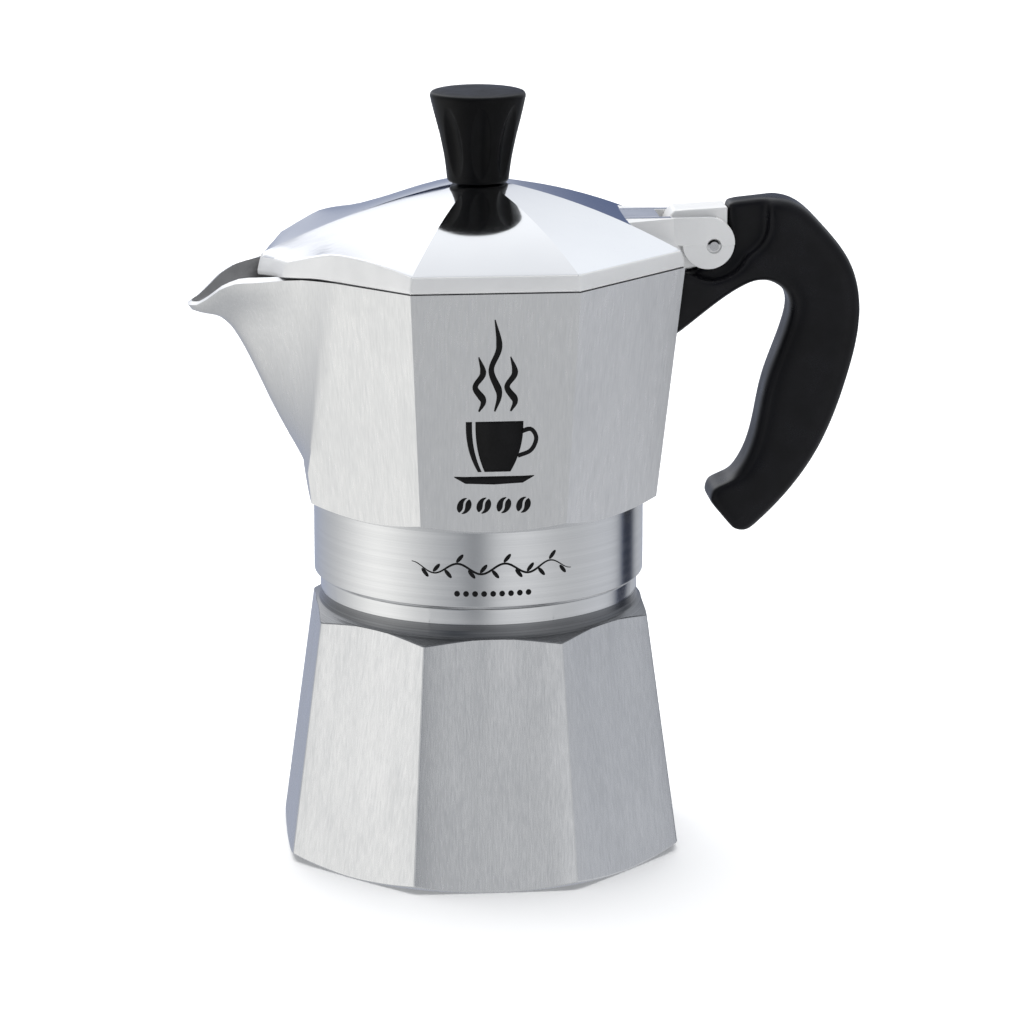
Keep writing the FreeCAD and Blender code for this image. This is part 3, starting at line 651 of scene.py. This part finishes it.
def spout_point(keel, u, t):
    """Point of the spout's side: u from the flat to the keel, t from its start to the rim."""
    corner = chamber_corner(SPOUT_START)
    low = np.array([-FLAT_SHARE * corner, corner * math.sin(EIGHTH)])
    foot = (1 - t) * low + t * np.array(SPOUT_FOOT_TOP)
    end = np.array([keel[0], 0.0])
    first = np.array([parabola((-37.8, -42.3, -46.0), t), parabola((10.4, 9.0, 10.0), t)])
    second = end + np.array([0.0, parabola((5.0, 3.5, 8.5), t)])
    return ((1 - u) ** 3 * foot + 3 * u * (1 - u) ** 2 * first + 3 * u * u * (1 - u) * second
            + u ** 3 * end)


SKIN_ROWS = 30
keel_path = smooth_path(SPOUT_KEEL, SKIN_ROWS)


def skin_column(angle, spout=None):
    """Outer skin from under the collar up to the rim, at an angle or at a place u on the spout."""
    share = octagon_share(angle, 1e-6)
    slope = UNDERSIDE_SLOPE
    top_share = share * (CHAMBER_CORNER - CHAMBER_TAPER * CHAMBER_TOP)
    edge_z = (COLLAR_TOP + slope * (top_share - COLLAR_RADIUS)) / (1 - slope * share * CHAMBER_TAPER)
    edge_r = share * chamber_corner(edge_z)
    inner_r = COLLAR_RADIUS - 1.6
    rows = [(inner_r, COLLAR_TOP - slope * 1.6), (COLLAR_RADIUS + 0.35, COLLAR_TOP + slope * 0.35)]
    rows += [(edge_r, edge_z), (share * chamber_corner(82.5), 82.5)]
    column = [(r * math.cos(angle), r * math.sin(angle), z) for r, z in rows]
    for row, t in enumerate(np.linspace(0, 1, SKIN_ROWS)):
        z = SPOUT_START + (CHAMBER_TOP - SPOUT_START) * t
        if spout is None:
            r = share * chamber_corner(z)
            column.append((r * math.cos(angle), r * math.sin(angle), z))
            continue
        x, y = spout_point(keel_path[row], spout, t)
        rim = spout_point(keel_path[-1], spout, 1.0)[0]
        drop = (CHAMBER_TOP - lip_height(rim)) / (CHAMBER_TOP - keel_path[-1][1])
        column.append((x, y, (1 - drop) * z + drop * keel_path[row][1]))
    return column


def flat_angles(start, end, count):
    """Angles of points evenly spaced along one flat, from corner or middle to corner."""
    middle = 2 * EIGHTH * round(math.degrees(0.5 * (start + end)) / 45)
    a = math.tan(start - middle)
    b = math.tan(end - middle)
    return [middle + math.atan(a + (b - a) * t) for t in np.linspace(0, 1, count, endpoint=False)]


def beside_spout_column(t_flat):
    """On the flat beside the spout: t_flat from its front corner to the spout's foot line."""
    start = math.tan(-EIGHTH)
    angle = 6 * EIGHTH + math.atan(start + (math.tan(EIGHTH) - start) * t_flat)
    column = skin_column(angle)
    for row, t in enumerate(np.linspace(0, 1, SKIN_ROWS)):
        z = SPOUT_START + (CHAMBER_TOP - SPOUT_START) * t
        corner = chamber_corner(z)
        front = np.array([corner * math.cos(5 * EIGHTH), corner * math.sin(5 * EIGHTH)])
        foot = spout_point(keel_path[row], 0.0, t)
        place = front + (foot - front) * t_flat
        column[len(column) - SKIN_ROWS + row] = (place[0], place[1], z)
    return column


half_skin = [skin_column(angle) for angle in flat_angles(0, EIGHTH, 4)]
half_skin += [skin_column(angle) for angle in flat_angles(EIGHTH, 3 * EIGHTH, 8)]
half_skin += [skin_column(angle) for angle in flat_angles(3 * EIGHTH, 5 * EIGHTH, 8)]
half_skin += [beside_spout_column(t) for t in np.linspace(0, 1, 8, endpoint=False)]
far_flat = [math.pi - math.atan(math.tan(EIGHTH) * (1 - u)) for u in np.linspace(0, 1, 21)]
half_skin += [skin_column(angle, u) for angle, u in zip(far_flat, np.linspace(0, 1, 21))]

chamber = add_columns("chamber_shell", mirrored(half_skin), False, "upper",
                      [BRUSHED_UPPER, CAST_PAINTED_SHADE, TURNED])
if chamber.data.polygons[0].normal.z > 0:
    chamber.data.flip_normals()
thin = chamber.vertex_groups.new(name="wall")
for vertex in chamber.data.vertices:
    reach = (-vertex.co.x / MM - 50.0) / 12.0
    thin.add([vertex.index], 1.0 - 0.55 * min(max(reach, 0.0), 1.0), "REPLACE")
paint(chamber, lambda centre, normal: 2 if centre.z < 80.0 and normal.z < -0.6 else 0)
# The solidified inner wall takes material 1, the dark cast copy: painted shade.
add_modifier(chamber, "SOLIDIFY", thickness=CHAMBER_WALL * MM, offset=-1.0, use_even_offset=True,
             vertex_group="wall", material_offset=1, material_offset_rim=0)
soften_edges(chamber, 0.45, 32)
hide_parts("upper_chamber")


collar_wall = THREAD_CORE + THREAD_DEPTH + THREAD_CLEARANCE


def collar_radius(angle, r, z):
    """The collar's bore carries the inner thread."""
    if abs(r - collar_wall) > 0.01:
        return r
    return collar_wall - THREAD_DEPTH * ridge(angle, z, THREAD_BOTTOM + 0.5 * THREAD_PITCH)


collar_outside = rounded([
    (34.4, COLLAR_BOTTOM), (34.9, COLLAR_BOTTOM), (COLLAR_RADIUS, COLLAR_BOTTOM + 0.7),
    (COLLAR_RADIUS, COLLAR_TOP - 0.6), (COLLAR_RADIUS, 80.0), (35.0, CHAMBER_FLOOR),
    (8.5, CHAMBER_FLOOR + 2.4), (6.6, CHAMBER_FLOOR + 5.4), (COLUMN_RADIUS, CHAMBER_FLOOR + 5.4),
    (COLUMN_RADIUS, 79.4), (28.0, RECESS_TOP), (FLANGE_ROOM, RECESS_TOP),
    (FLANGE_ROOM, RECESS_TOP - 4.4), (collar_wall, RECESS_TOP - 4.7)],
    [0.3, 0.3, 0, 0, 0, 2.0, 0.6, 0, 0.5, 0.5, 0.3, 0.2])
collar_bore = [(collar_wall, z) for z in np.arange(RECESS_TOP - 4.8, COLLAR_BOTTOM + 0.9, -0.25)]
collar = lathe("chamber_collar", collar_outside + collar_bore, "upper",
               [TURNED, CAST_PAINTED_SHADE], 144, collar_radius)
# The chamber floor's top takes the dark cast copy: painted shade.
paint(collar, lambda centre, normal: 1 if centre.z > 79.9 else 0)
weigh_normals(collar)

lug_outline = [(LUG_START_X, 125.3), (LUG_END_X, 128.5), (LUG_END_X, LUG_TOP_Z), (45.0, LUG_TOP_Z - 0.4)]
lug_outline += arc(PIN_X, PIN_Z, LUG_SWING_RADIUS, 138, 190, 9) + [(LUG_START_X, 129.3)]
lug = slab("chamber_hinge_lug", lug_outline, -LUG_HALF_WIDTH, LUG_HALF_WIDTH, "upper",
           [CAST])
soften_edges(lug, 0.5)


# === Lid ===

ridge_curve = np.polyfit([p[0] for p in RIDGE], [p[1] for p in RIDGE], 3)
rim_path = smooth_path(RIM_TOP, 60)

def dome_height(corner):
    """Height of the regular dome, by the corner radius of the octagon through the place."""
    return DOME_TOP - DOME_SLOPE * corner - DOME_CURVE * corner ** 2


def beak_side(x, y, rim_plan):
    """Height of the panels beside the ridge, between it and the crease or the rim."""
    along, across = abs(x), abs(y)
    if along < LID_TOP_CORNER * math.sin(EIGHTH):
        end_across = along * math.tan(3 * EIGHTH)
        end_z = dome_height(math.hypot(along, end_across))
    else:
        end_across = table(rim_plan, along)
        end_z = table(rim_path, along)
    ridge_z = float(np.polyval(ridge_curve, along))
    fall, soft = table(RIDGE_FALL, along), table(RIDGE_SOFT, along)
    roof = math.sqrt(across ** 2 + soft ** 2) - soft
    end_roof = math.sqrt(end_across ** 2 + soft ** 2) - soft
    share = min(across / max(end_across, 0.01), 1.0)
    return ridge_z - fall * roof + (end_z - ridge_z + fall * end_roof) * share ** 2


def lid_column(bottom, top, rim_plan):
    """Outside from the rim's bottom edge to the axis, then inside back to the rim."""
    azimuth = math.degrees(math.atan2(top[1], top[0]))
    regular = azimuth <= 112.5 + 1e-6
    low_z = table(BEAK_BOTTOM, bottom[0])

    def dome(level):
        if regular:
            return min(dome_height(LID_TOP_CORNER * level), LID_SEAT)
        return min(beak_side(top[0] * level, top[1] * level, rim_plan), LID_SEAT)

    edge_z = dome(1.0)
    column = [(*bottom, low_z), (*bottom, low_z + RIM_LOW_BAND)]
    column += [(top[0] * s, top[1] * s, dome(s)) for s in LID_LEVELS]
    inner = [s for s in LID_LEVELS[::-1] if s < 0.95]
    column += [(top[0] * s, top[1] * s, dome(s) - LID_SKIN) for s in inner]
    inset = 1 - RIM_WALL / math.hypot(*bottom)
    inner_top = min(edge_z - LID_SKIN - 0.4, RIM_INNER_TOP)
    return column + [(bottom[0] * inset, bottom[1] * inset, z) for z in (inner_top, low_z)]


def lid_outline():
    """(bottom, top) plan points of the rim from azimuth 0 to 180."""
    pairs = []
    for start, end, count in ((0, EIGHTH, 5), (EIGHTH, 3 * EIGHTH, 10), (3 * EIGHTH, 5 * EIGHTH, 10),
                              (5 * EIGHTH, 7 * EIGHTH, 14)):
        for angle in flat_angles(start, end, count):
            share = octagon_share(angle, 1e-6)
            unit = np.array([math.cos(angle), math.sin(angle)]) * share
            pairs.append((unit * LID_BOTTOM_CORNER, unit * LID_TOP_CORNER))
    for point in smooth_path(BEAK, 13):
        pairs.append((point, point * (1 - 0.8 / np.linalg.norm(point))))
    return pairs


outline_pairs = lid_outline()
beak_rim = sorted((-top[0], top[1]) for bottom, top in outline_pairs if top[0] < -10)
half_lid = [lid_column(tuple(bottom), tuple(top), beak_rim) for bottom, top in outline_pairs]
lid = add_columns("lid_shell", mirrored(half_lid), True, "lid",
                  [POLISHED, CAST, CAST_PAINTED_SHADE])
notch = slab("notch", arc(PIN_X, PIN_Z, NOTCH_RADIUS, 0, 354, 60), -EAR_INNER, EAR_INNER, "lid",
             [CAST])
cut_away(lid, notch)


def lid_zone(centre, normal):
    # Inner faces take the dark cast copy: painted shade.
    if normal.z < 0.1 and (centre.x * normal.x + centre.y * normal.y < 0 or normal.z < -0.5):
        return 2
    return 0 if normal.z > 0.4 else 1


paint(lid, lid_zone)
soften_edges(lid, 0.4, 36)
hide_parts("lid")


def on_crease(vertex):
    """On the beak's ridge, or on a corner line of the regular octagon."""
    azimuth = math.degrees(math.atan2(vertex.co.y, vertex.co.x)) % 45
    along_ridge = abs(vertex.co.y) < 1e-6 and vertex.co.x < 0
    regular = vertex.co.x > -0.4 * abs(vertex.co.y) - 0.02 and abs(azimuth - 22.5) < 0.05
    inside_octagon = math.atan2(abs(vertex.co.y), vertex.co.x) < math.radians(113)
    return along_ridge or regular and inside_octagon


for edge in lid.data.edges:
    ends = [lid.data.vertices[k] for k in edge.vertices]
    if all(on_crease(v) for v in ends):
        edge.use_edge_sharp = True

# Hinge: two ears beside the lug, each with a flared base on the dome, and a bridge between them.
def hinge_zone(centre, normal):
    return 1 if normal.z > 0.95 and centre.z > ARM_TOP_Z - 0.5 else 0


notch_top_x = PIN_X - math.sqrt(NOTCH_RADIUS ** 2 - (ARM_TOP_Z - PIN_Z) ** 2)
arm_outline = [(ARM_START_X, ARM_TOP_Z), (EAR_X, ARM_TOP_Z)]
arm_outline += arc(EAR_X, EAR_Z, EAR_RADIUS, 80, -5, 12)
arm_outline += [(44.0, ARM_LOW_Z), (40.5, 132.0), (ARM_START_X, ARM_START_LOW_Z)]
ear_outline = arc(EAR_X, EAR_Z, EAR_RADIUS - 0.05, 0, 352, 45)
for side, name in ((-1, "front"), (1, "back")):
    arm = slab(f"lid_arm_{name}", arm_outline, side * EAR_INNER, side * EAR_OUTER, "lid",
               [CAST, POLISHED])
    ear = slab(f"lid_ear_{name}", ear_outline, side * EAR_INNER, side * (EAR_OUTER - EAR_STEP), "lid",
               [CAST])
    for piece in (arm, ear):
        sink = slab("sink", arc(PIN_X, PIN_Z, PIN_SINK_RADIUS, 0, 345, 24),
                    side * (EAR_OUTER - PIN_SINK_DEPTH), side * (EAR_OUTER + 1), "lid",
                    [CAST])
        cut_away(piece, sink)
        if piece is arm:
            paint(arm, hinge_zone)
        soften_edges(piece, 0.35)
    plan = [(ARM_START_X, side * (EAR_OUTER - 0.5)), (ARM_START_X, side * (EAR_OUTER + FLARE_OUT)),
            (FLARE_END_X, side * (EAR_OUTER - 0.05)), (FLARE_END_X, side * (EAR_OUTER - 0.5))]
    points = [(x, y, ARM_START_LOW_Z if x == ARM_START_X else FLARE_LOW_Z) for x, y in plan]
    points += [(x, y, ARM_TOP_Z - 0.1) for x, y in plan]
    faces = [(3, 2, 1, 0), (4, 5, 6, 7)]
    faces += [(k, (k + 1) % 4, 4 + (k + 1) % 4, 4 + k) for k in range(4)]
    flare = add_mesh(f"lid_flare_{name}", points, faces, "lid", [CAST])
    soften_edges(flare, 0.3)

bridge_outline = [(ARM_START_X - 0.6, ARM_START_LOW_Z + 0.4), (ARM_START_X, ARM_TOP_Z)]
bridge_outline += [(notch_top_x, ARM_TOP_Z)]
bridge_outline += arc(PIN_X, PIN_Z, NOTCH_RADIUS, 152, 176, 6) + [(37.0, 134.3), (33.0, 136.4)]
bridge = slab("lid_hinge_bridge", bridge_outline, -EAR_INNER - 0.05, EAR_INNER + 0.05, "lid",
              [CAST, POLISHED])
paint(bridge, hinge_zone)
soften_edges(bridge, 0.3)


# === Knob ===

def knob_radius(angle, r, z):
    """Eight long scoops, narrowing to a point at both ends."""
    along = abs(z - SCOOP_MIDDLE_Z) / SCOOP_HALF_LENGTH
    if along >= 1 or r < 5:
        return r
    width = SCOOP_HALF_WIDTH * math.sqrt(1 - along ** 2)
    sector = 2 * math.pi / SCOOPS
    off = ((angle + 0.5 * sector) % sector - 0.5 * sector) * r
    depth = SCOOP_DEPTH * (1 - along ** 2)
    return r - depth * max(0.0, 1 - (off / width) ** 2)


knob_outline = smooth_path(KNOB_PROFILE, 90)
knob_outline = [(0.0, 145.7)] + [tuple(p) for p in knob_outline] + [(6.0, 165.0), (0.0, 165.0)]
knob = lathe("knob_body", knob_outline, "lid", [KNOB_PLASTIC], 256, knob_radius,
             closed=False)
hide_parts("knob")


# === Printed ornaments: a steaming cup on the front flat, a leafy line on the collar 

def on_front_flat(u, v, lift):
    """u to the right and v up from the boiler's bottom, on the upper chamber's front flat."""
    return (u, -FLAT_SHARE * chamber_corner(v) - lift, v)


def on_collar(u, v, lift):
    angle = -0.5 * math.pi + u / COLLAR_RADIUS
    return ((COLLAR_RADIUS + lift) * math.cos(angle), (COLLAR_RADIUS + lift) * math.sin(angle), v)


def strip(left, right, place):
    """A thin closed strip between two edges given as (u, v) lists."""
    points, faces = [], []
    for a, b in zip(left, right):
        points += [place(*a, PRINT_UNDER), place(*b, PRINT_UNDER)]
        points += [place(*b, PRINT_OVER), place(*a, PRINT_OVER)]
    for k in range(len(left) - 1):
        for side in range(4):
            other = (side + 1) % 4
            faces.append((4 * k + side, 4 * k + other, 4 * k + 4 + other, 4 * k + 4 + side))
    last = 4 * (len(left) - 1)
    faces += [(0, 1, 2, 3), (last, last + 3, last + 2, last + 1)]
    return points, faces


def stroke(path, widths, place, count=28):
    """A drawn line through (u, v) points whose width runs through the given values."""
    line = smooth_path(path, count)
    ahead = np.gradient(line, axis=0)
    ahead /= np.linalg.norm(ahead, axis=1)[:, None]
    side = np.stack([-ahead[:, 1], ahead[:, 0]], 1)
    width = np.interp(np.linspace(0, 1, count), np.linspace(0, 1, len(widths)), widths)[:, None]
    return strip([tuple(p) for p in line + 0.5 * width * side],
                 [tuple(p) for p in line - 0.5 * width * side], place)


def bean(u, v, length, width, lean, place):
    """A coffee bean: two half ovals with a curved gap between them."""
    parts = []
    turn = math.radians(lean)
    for side in (-1, 1):
        inner, outer = [], []
        for s in np.linspace(-0.94, 0.94, 14):
            gap = 0.08 * width * side + 0.09 * width * math.sin(math.pi * s)
            edge = side * 0.5 * width * math.sqrt(1 - s * s)
            gap = min(gap, edge - 0.02) if side > 0 else max(gap, edge + 0.02)
            for target, offset in ((inner, gap), (outer, edge)):
                a, b = 0.5 * length * s, offset
                target.append((u + a * math.cos(turn) - b * math.sin(turn),
                               v + a * math.sin(turn) + b * math.cos(turn)))
        parts.append(strip(inner, outer, place))
    return parts


def oval(u, v, half_length, half_width, lean, place):
    turn = math.radians(lean)
    edges = ([], [])
    for s in np.linspace(-0.98, 0.98, 12):
        b = half_width * math.sqrt(1 - s * s)
        for target, offset in zip(edges, (b, -b)):
            target.append((u + half_length * s * math.cos(turn) - offset * math.sin(turn),
                           v + half_length * s * math.sin(turn) + offset * math.cos(turn)))
    return strip(*edges, place)


def cup_parts():
    """Steam, cup, saucer and a row of beans."""
    parts = []
    for u, high in ((-3.3, 116.0), (0.0, 124.0), (3.3, 116.0)):
        rise = high - STEAM_BOTTOM
        bends = ((0, 0), (0.9, 0.2), (-0.8, 0.45), (0.8, 0.7), (-0.1, 1))
        path = [(u + aside, STEAM_BOTTOM + share * rise) for aside, share in bends]
        parts.append(stroke(path, [0.35, 1.5, 1.1, 1.3, 0.25], on_front_flat, 40))

    def cup_edge(side, start, reach):
        return [(side * (start - reach * s ** 2.4), CUP_TOP - CUP_HEIGHT * s) for s in np.linspace(0, 1, 16)]

    parts.append(strip(cup_edge(-1, CUP_HALF_WIDTH, 2.6), cup_edge(-1, 4.7, 2.1), on_front_flat))
    parts.append(strip(cup_edge(-1, 4.0, 2.0), cup_edge(1, CUP_HALF_WIDTH, 2.6), on_front_flat))
    loop = [(5.6, 99.8), (7.6, 100.2), (8.7, 98.2), (7.6, 95.6), (4.9, 94.4)]
    parts.append(stroke(loop, [1.0, 0.9, 0.9, 0.9, 0.9], on_front_flat))
    parts.append(strip([(-8.3, 89.9), (-6.0, 88.5), (0.0, 88.2), (6.0, 88.5), (8.3, 89.9)],
                       [(-8.4, 90.1), (-6.0, 90.0), (0.0, 90.0), (6.0, 90.0), (8.4, 90.1)], on_front_flat))
    for u in (-6.2, -2.1, 2.1, 6.2):
        parts += bean(u, BEAN_ROW_Z, 3.7, 2.9, 62, on_front_flat)
    return parts


def collar_parts():
    """A waving stem with leaves on alternate sides, and a row of dots under it."""
    def stem_height(u):
        return STEM_Z + STEM_WAVE * math.sin(u / STEM_HALF_LENGTH * 3.5 * math.pi)

    path = [(u, stem_height(u)) for u in np.linspace(-STEM_HALF_LENGTH, STEM_HALF_LENGTH, 50)]
    parts = [stroke(path, [0.15, 0.45, 0.45, 0.45, 0.15], on_collar, 120)]
    for k, u in enumerate(np.linspace(-15.0, 15.0, 13)):
        side = 1 if k % 2 else -1
        parts.append(oval(u + 0.5, stem_height(u) + 1.15 * side, 1.15, 0.42, 50 * side, on_collar))
    for u in np.linspace(-7.6, 7.6, 9):
        parts.append(oval(u, DOT_ROW_Z, 0.62, 0.62, 0, on_collar))
    return parts


def add_print(name, parts):
    points, faces = [], []
    for part_points, part_faces in parts:
        faces += [tuple(len(points) + k for k in face) for face in part_faces]
        points += part_points
    return add_mesh(name, points, faces, "upper", [INK])


add_print("print_cup", cup_parts())
add_print("print_collar", collar_parts())


# === Carried-over CAD nodes ===

# The funnel and its screen take the dark cast copy: painted shade.
CAD_LOOKS = {
    "valve_body": BRASS, "valve_washer": RUBBER, "valve_nut": BRASS, "valve_cap": BRASS,
    "valve_spring": STEEL, "valve_plunger": BRASS, "funnel": CAST_PAINTED_SHADE, "funnel_screen": CAST_PAINTED_SHADE,
    "gasket": RUBBER, "filter_plate": CAST, "riser_column": CAST, "handle": PLASTIC,
    "handle_screw": STEEL, "hinge_pin": STEEL, "knob_insert": BRASS, "knob_screw": STEEL,
    "knob_washer": STEEL,
}
for node, material in CAD_LOOKS.items():
    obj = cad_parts[node]
    obj.data.materials.clear()
    obj.data.materials.append(material)

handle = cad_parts["handle"]
add_modifier(handle, "REMESH", mode="VOXEL", voxel_size=0.45 * MM, use_smooth_shade=True)
add_modifier(handle, "SMOOTH", factor=0.5, iterations=60)


# === Stage: floor, light and camera ===

FLOOR_HALF = 4.0
floor_mesh = bpy.data.meshes.new("floor")
floor_mesh.from_pydata([(-FLOOR_HALF, -FLOOR_HALF, 0), (FLOOR_HALF, -FLOOR_HALF, 0),
                        (FLOOR_HALF, FLOOR_HALF, 0), (-FLOOR_HALF, FLOOR_HALF, 0)], [], [(0, 1, 2, 3)])
floor = bpy.data.objects.new("floor", floor_mesh)
bpy.context.scene.collection.objects.link(floor)
floor_look = Look("floor_white", (0.93, 0.93, 0.93), 0.9)
floor_look.tint(floor_look.noise(3, (1, 1, 1), 2), (0.93, 0.93, 0.93), (0.94, 0.94, 0.94))
floor_mesh.materials.append(floor_look.material)
floor.visible_glossy = False

# Soft surrounding light, seen in the metal: a base level, and lobes that add to it or take from
# it (azimuth and elevation in degrees, colour, half width in degrees).
SKY_BASE = (0.48, 0.49, 0.505)
SKY_LOBES = [
    (-170, -18, (0.50, 0.49, 0.46), 27),
    (-112, 8, (-0.46, -0.45, -0.43), 11),
    (-96, -13, (-0.30, -0.30, -0.30), 9),
    (-95, 48, (-0.40, -0.40, -0.38), 16),
    (-66, -8, (0.22, 0.22, 0.22), 20),
    (6, -30, (0.17, 0.17, 0.18), 20),
    (8, 4, (-0.09, -0.08, -0.06), 20),
    (33, -13, (-0.72, -0.72, -0.70), 9),
    (90, 65, (0.26, 0.27, 0.29), 35),
    (108, 36, (0.52, 0.52, 0.52), 21),
    (50, 36, (0.28, 0.30, 0.33), 18),
    (107, 17, (0.62, 0.61, 0.58), 10),
    (95, -6, (-0.12, -0.09, 0.01), 26),
    (80, 2, (-0.34, -0.34, -0.32), 7),
]
# Dark strips low behind the object, as a studio's edge shows in polished metal: azimuth and
# how far it runs to each side, elevation, half height in degrees, colour.
SKY_STRIPS = [(83, 12, 15.5, 4.5, (-1.15, -1.15, -1.13))]


SKY_DARKEST = (0.02, 0.024, 0.04)
STRIP_SHARPNESS = 2.0
STRIP_END_FADE = (3, 2)              # degrees inside and outside a strip's end


def sky_direction(azimuth, elevation):
    a, e = math.radians(azimuth), math.radians(elevation)
    return math.cos(e) * math.cos(a), math.cos(e) * math.sin(a), math.sin(e)


def make_sky():
    """The world's shader: the base, lobes and strips added up, and never quite black."""
    world = bpy.data.worlds.new("studio")
    bpy.context.scene.world = world
    world.use_nodes = True
    nodes, links = world.node_tree.nodes, world.node_tree.links
    place = nodes.new("ShaderNodeTexCoord").outputs["Generated"]

    def compute(kind, operation, *values):
        made = nodes.new(kind)
        made.operation = operation
        for socket, value in zip(made.inputs, values):
            if isinstance(value, bpy.types.NodeSocket):
                links.new(value, socket)
            else:
                socket.default_value = value
        return made

    def number(operation, *values):
        return compute("ShaderNodeMath", operation, *values).outputs[0]

    def vector(operation, *values):
        return compute("ShaderNodeVectorMath", operation, *values).outputs["Vector"]

    def toward(direction):
        return compute("ShaderNodeVectorMath", "DOT_PRODUCT", place, direction).outputs["Value"]

    def with_light(total, color, amount):
        scaled = compute("ShaderNodeVectorMath", "SCALE", color)
        links.new(amount, scaled.inputs["Scale"])
        return vector("ADD", scaled.outputs["Vector"], total)

    total = SKY_BASE
    for azimuth, elevation, color, half_width in SKY_LOBES:
        power = math.log(0.5) / math.log(math.cos(math.radians(half_width)))
        ahead = number("MAXIMUM", toward(sky_direction(azimuth, elevation)), 0.0)
        total = with_light(total, color, number("POWER", ahead, power))
    for azimuth, reach, elevation, half_height, color in SKY_STRIPS:
        off = number("ABSOLUTE", number("SUBTRACT", toward((0, 0, 1)), math.sin(math.radians(elevation))))
        inside = number("SUBTRACT", 1.0, number("DIVIDE", off, math.sin(math.radians(half_height))))
        inside = number("MULTIPLY", number("MAXIMUM", inside, 0.0), STRIP_SHARPNESS)
        level = math.cos(math.radians(elevation))
        ends = nodes.new("ShaderNodeMapRange")
        ends.inputs["From Min"].default_value = level * math.cos(math.radians(reach + STRIP_END_FADE[1]))
        ends.inputs["From Max"].default_value = level * math.cos(math.radians(reach - STRIP_END_FADE[0]))
        links.new(toward(sky_direction(azimuth, 0)), ends.inputs["Value"])
        amount = number("MULTIPLY", number("MINIMUM", inside, 1.0), ends.outputs[0])
        total = with_light(total, color, amount)
    links.new(vector("MAXIMUM", total, SKY_DARKEST), nodes["Background"].inputs["Color"])


def add_card(name, place, target, width, height, power, color=(1, 1, 1), mirrored_in_metal=True):
    """A soft rectangular light facing a point; metres and watts."""
    light = bpy.data.lights.new(name, "AREA")
    light.shape = "RECTANGLE"
    light.size = width
    light.size_y = height
    light.energy = power
    light.color = color
    obj = bpy.data.objects.new(name, light)
    obj.location = place
    obj.rotation_euler = (Vector(target) - Vector(place)).to_track_quat("-Z", "Y").to_euler()
    obj.visible_glossy = mirrored_in_metal
    bpy.context.scene.collection.objects.link(obj)


make_sky()
add_card("card_top", (-0.1, 0.7, 2.6), (0, 0.3, 0), 3.4, 3.4, 105, (1.0, 0.995, 0.985), False)
add_card("card_back", (-0.5, 1.3, 1.2), (0, 0, 0.1), 0.8, 0.5, 0.5)
add_card("card_left", (-1.5, -0.2, 0.4), (0, 0, 0.08), 0.6, 0.9, 0.25, (1.0, 0.98, 0.95))

CAMERA_AZIMUTH = math.radians(-5.28)
CAMERA_PITCH = math.radians(14.20)
CAMERA_DISTANCE = 953 * MM
AIM_HEIGHT = 74.25 * MM
AIM_RIGHT = 5.77 * MM
LENS_MM = 156.37
back = Vector((math.sin(CAMERA_AZIMUTH) * math.cos(CAMERA_PITCH),
               -math.cos(CAMERA_AZIMUTH) * math.cos(CAMERA_PITCH), math.sin(CAMERA_PITCH)))
right = Vector((math.cos(CAMERA_AZIMUTH), math.sin(CAMERA_AZIMUTH), 0))
up = back.cross(right)
camera = bpy.data.objects.new("camera", bpy.data.cameras.new("camera"))
camera.data.lens = LENS_MM
camera.data.sensor_width = 36.0
place = Vector((0, 0, AIM_HEIGHT)) + right * AIM_RIGHT + back * CAMERA_DISTANCE
camera.matrix_world = Matrix.Translation(place) @ Matrix((right, up, back)).transposed().to_4x4()
bpy.context.scene.collection.objects.link(camera)
bpy.context.scene.camera = camera
bpy.context.scene.view_settings.view_transform = "Standard"
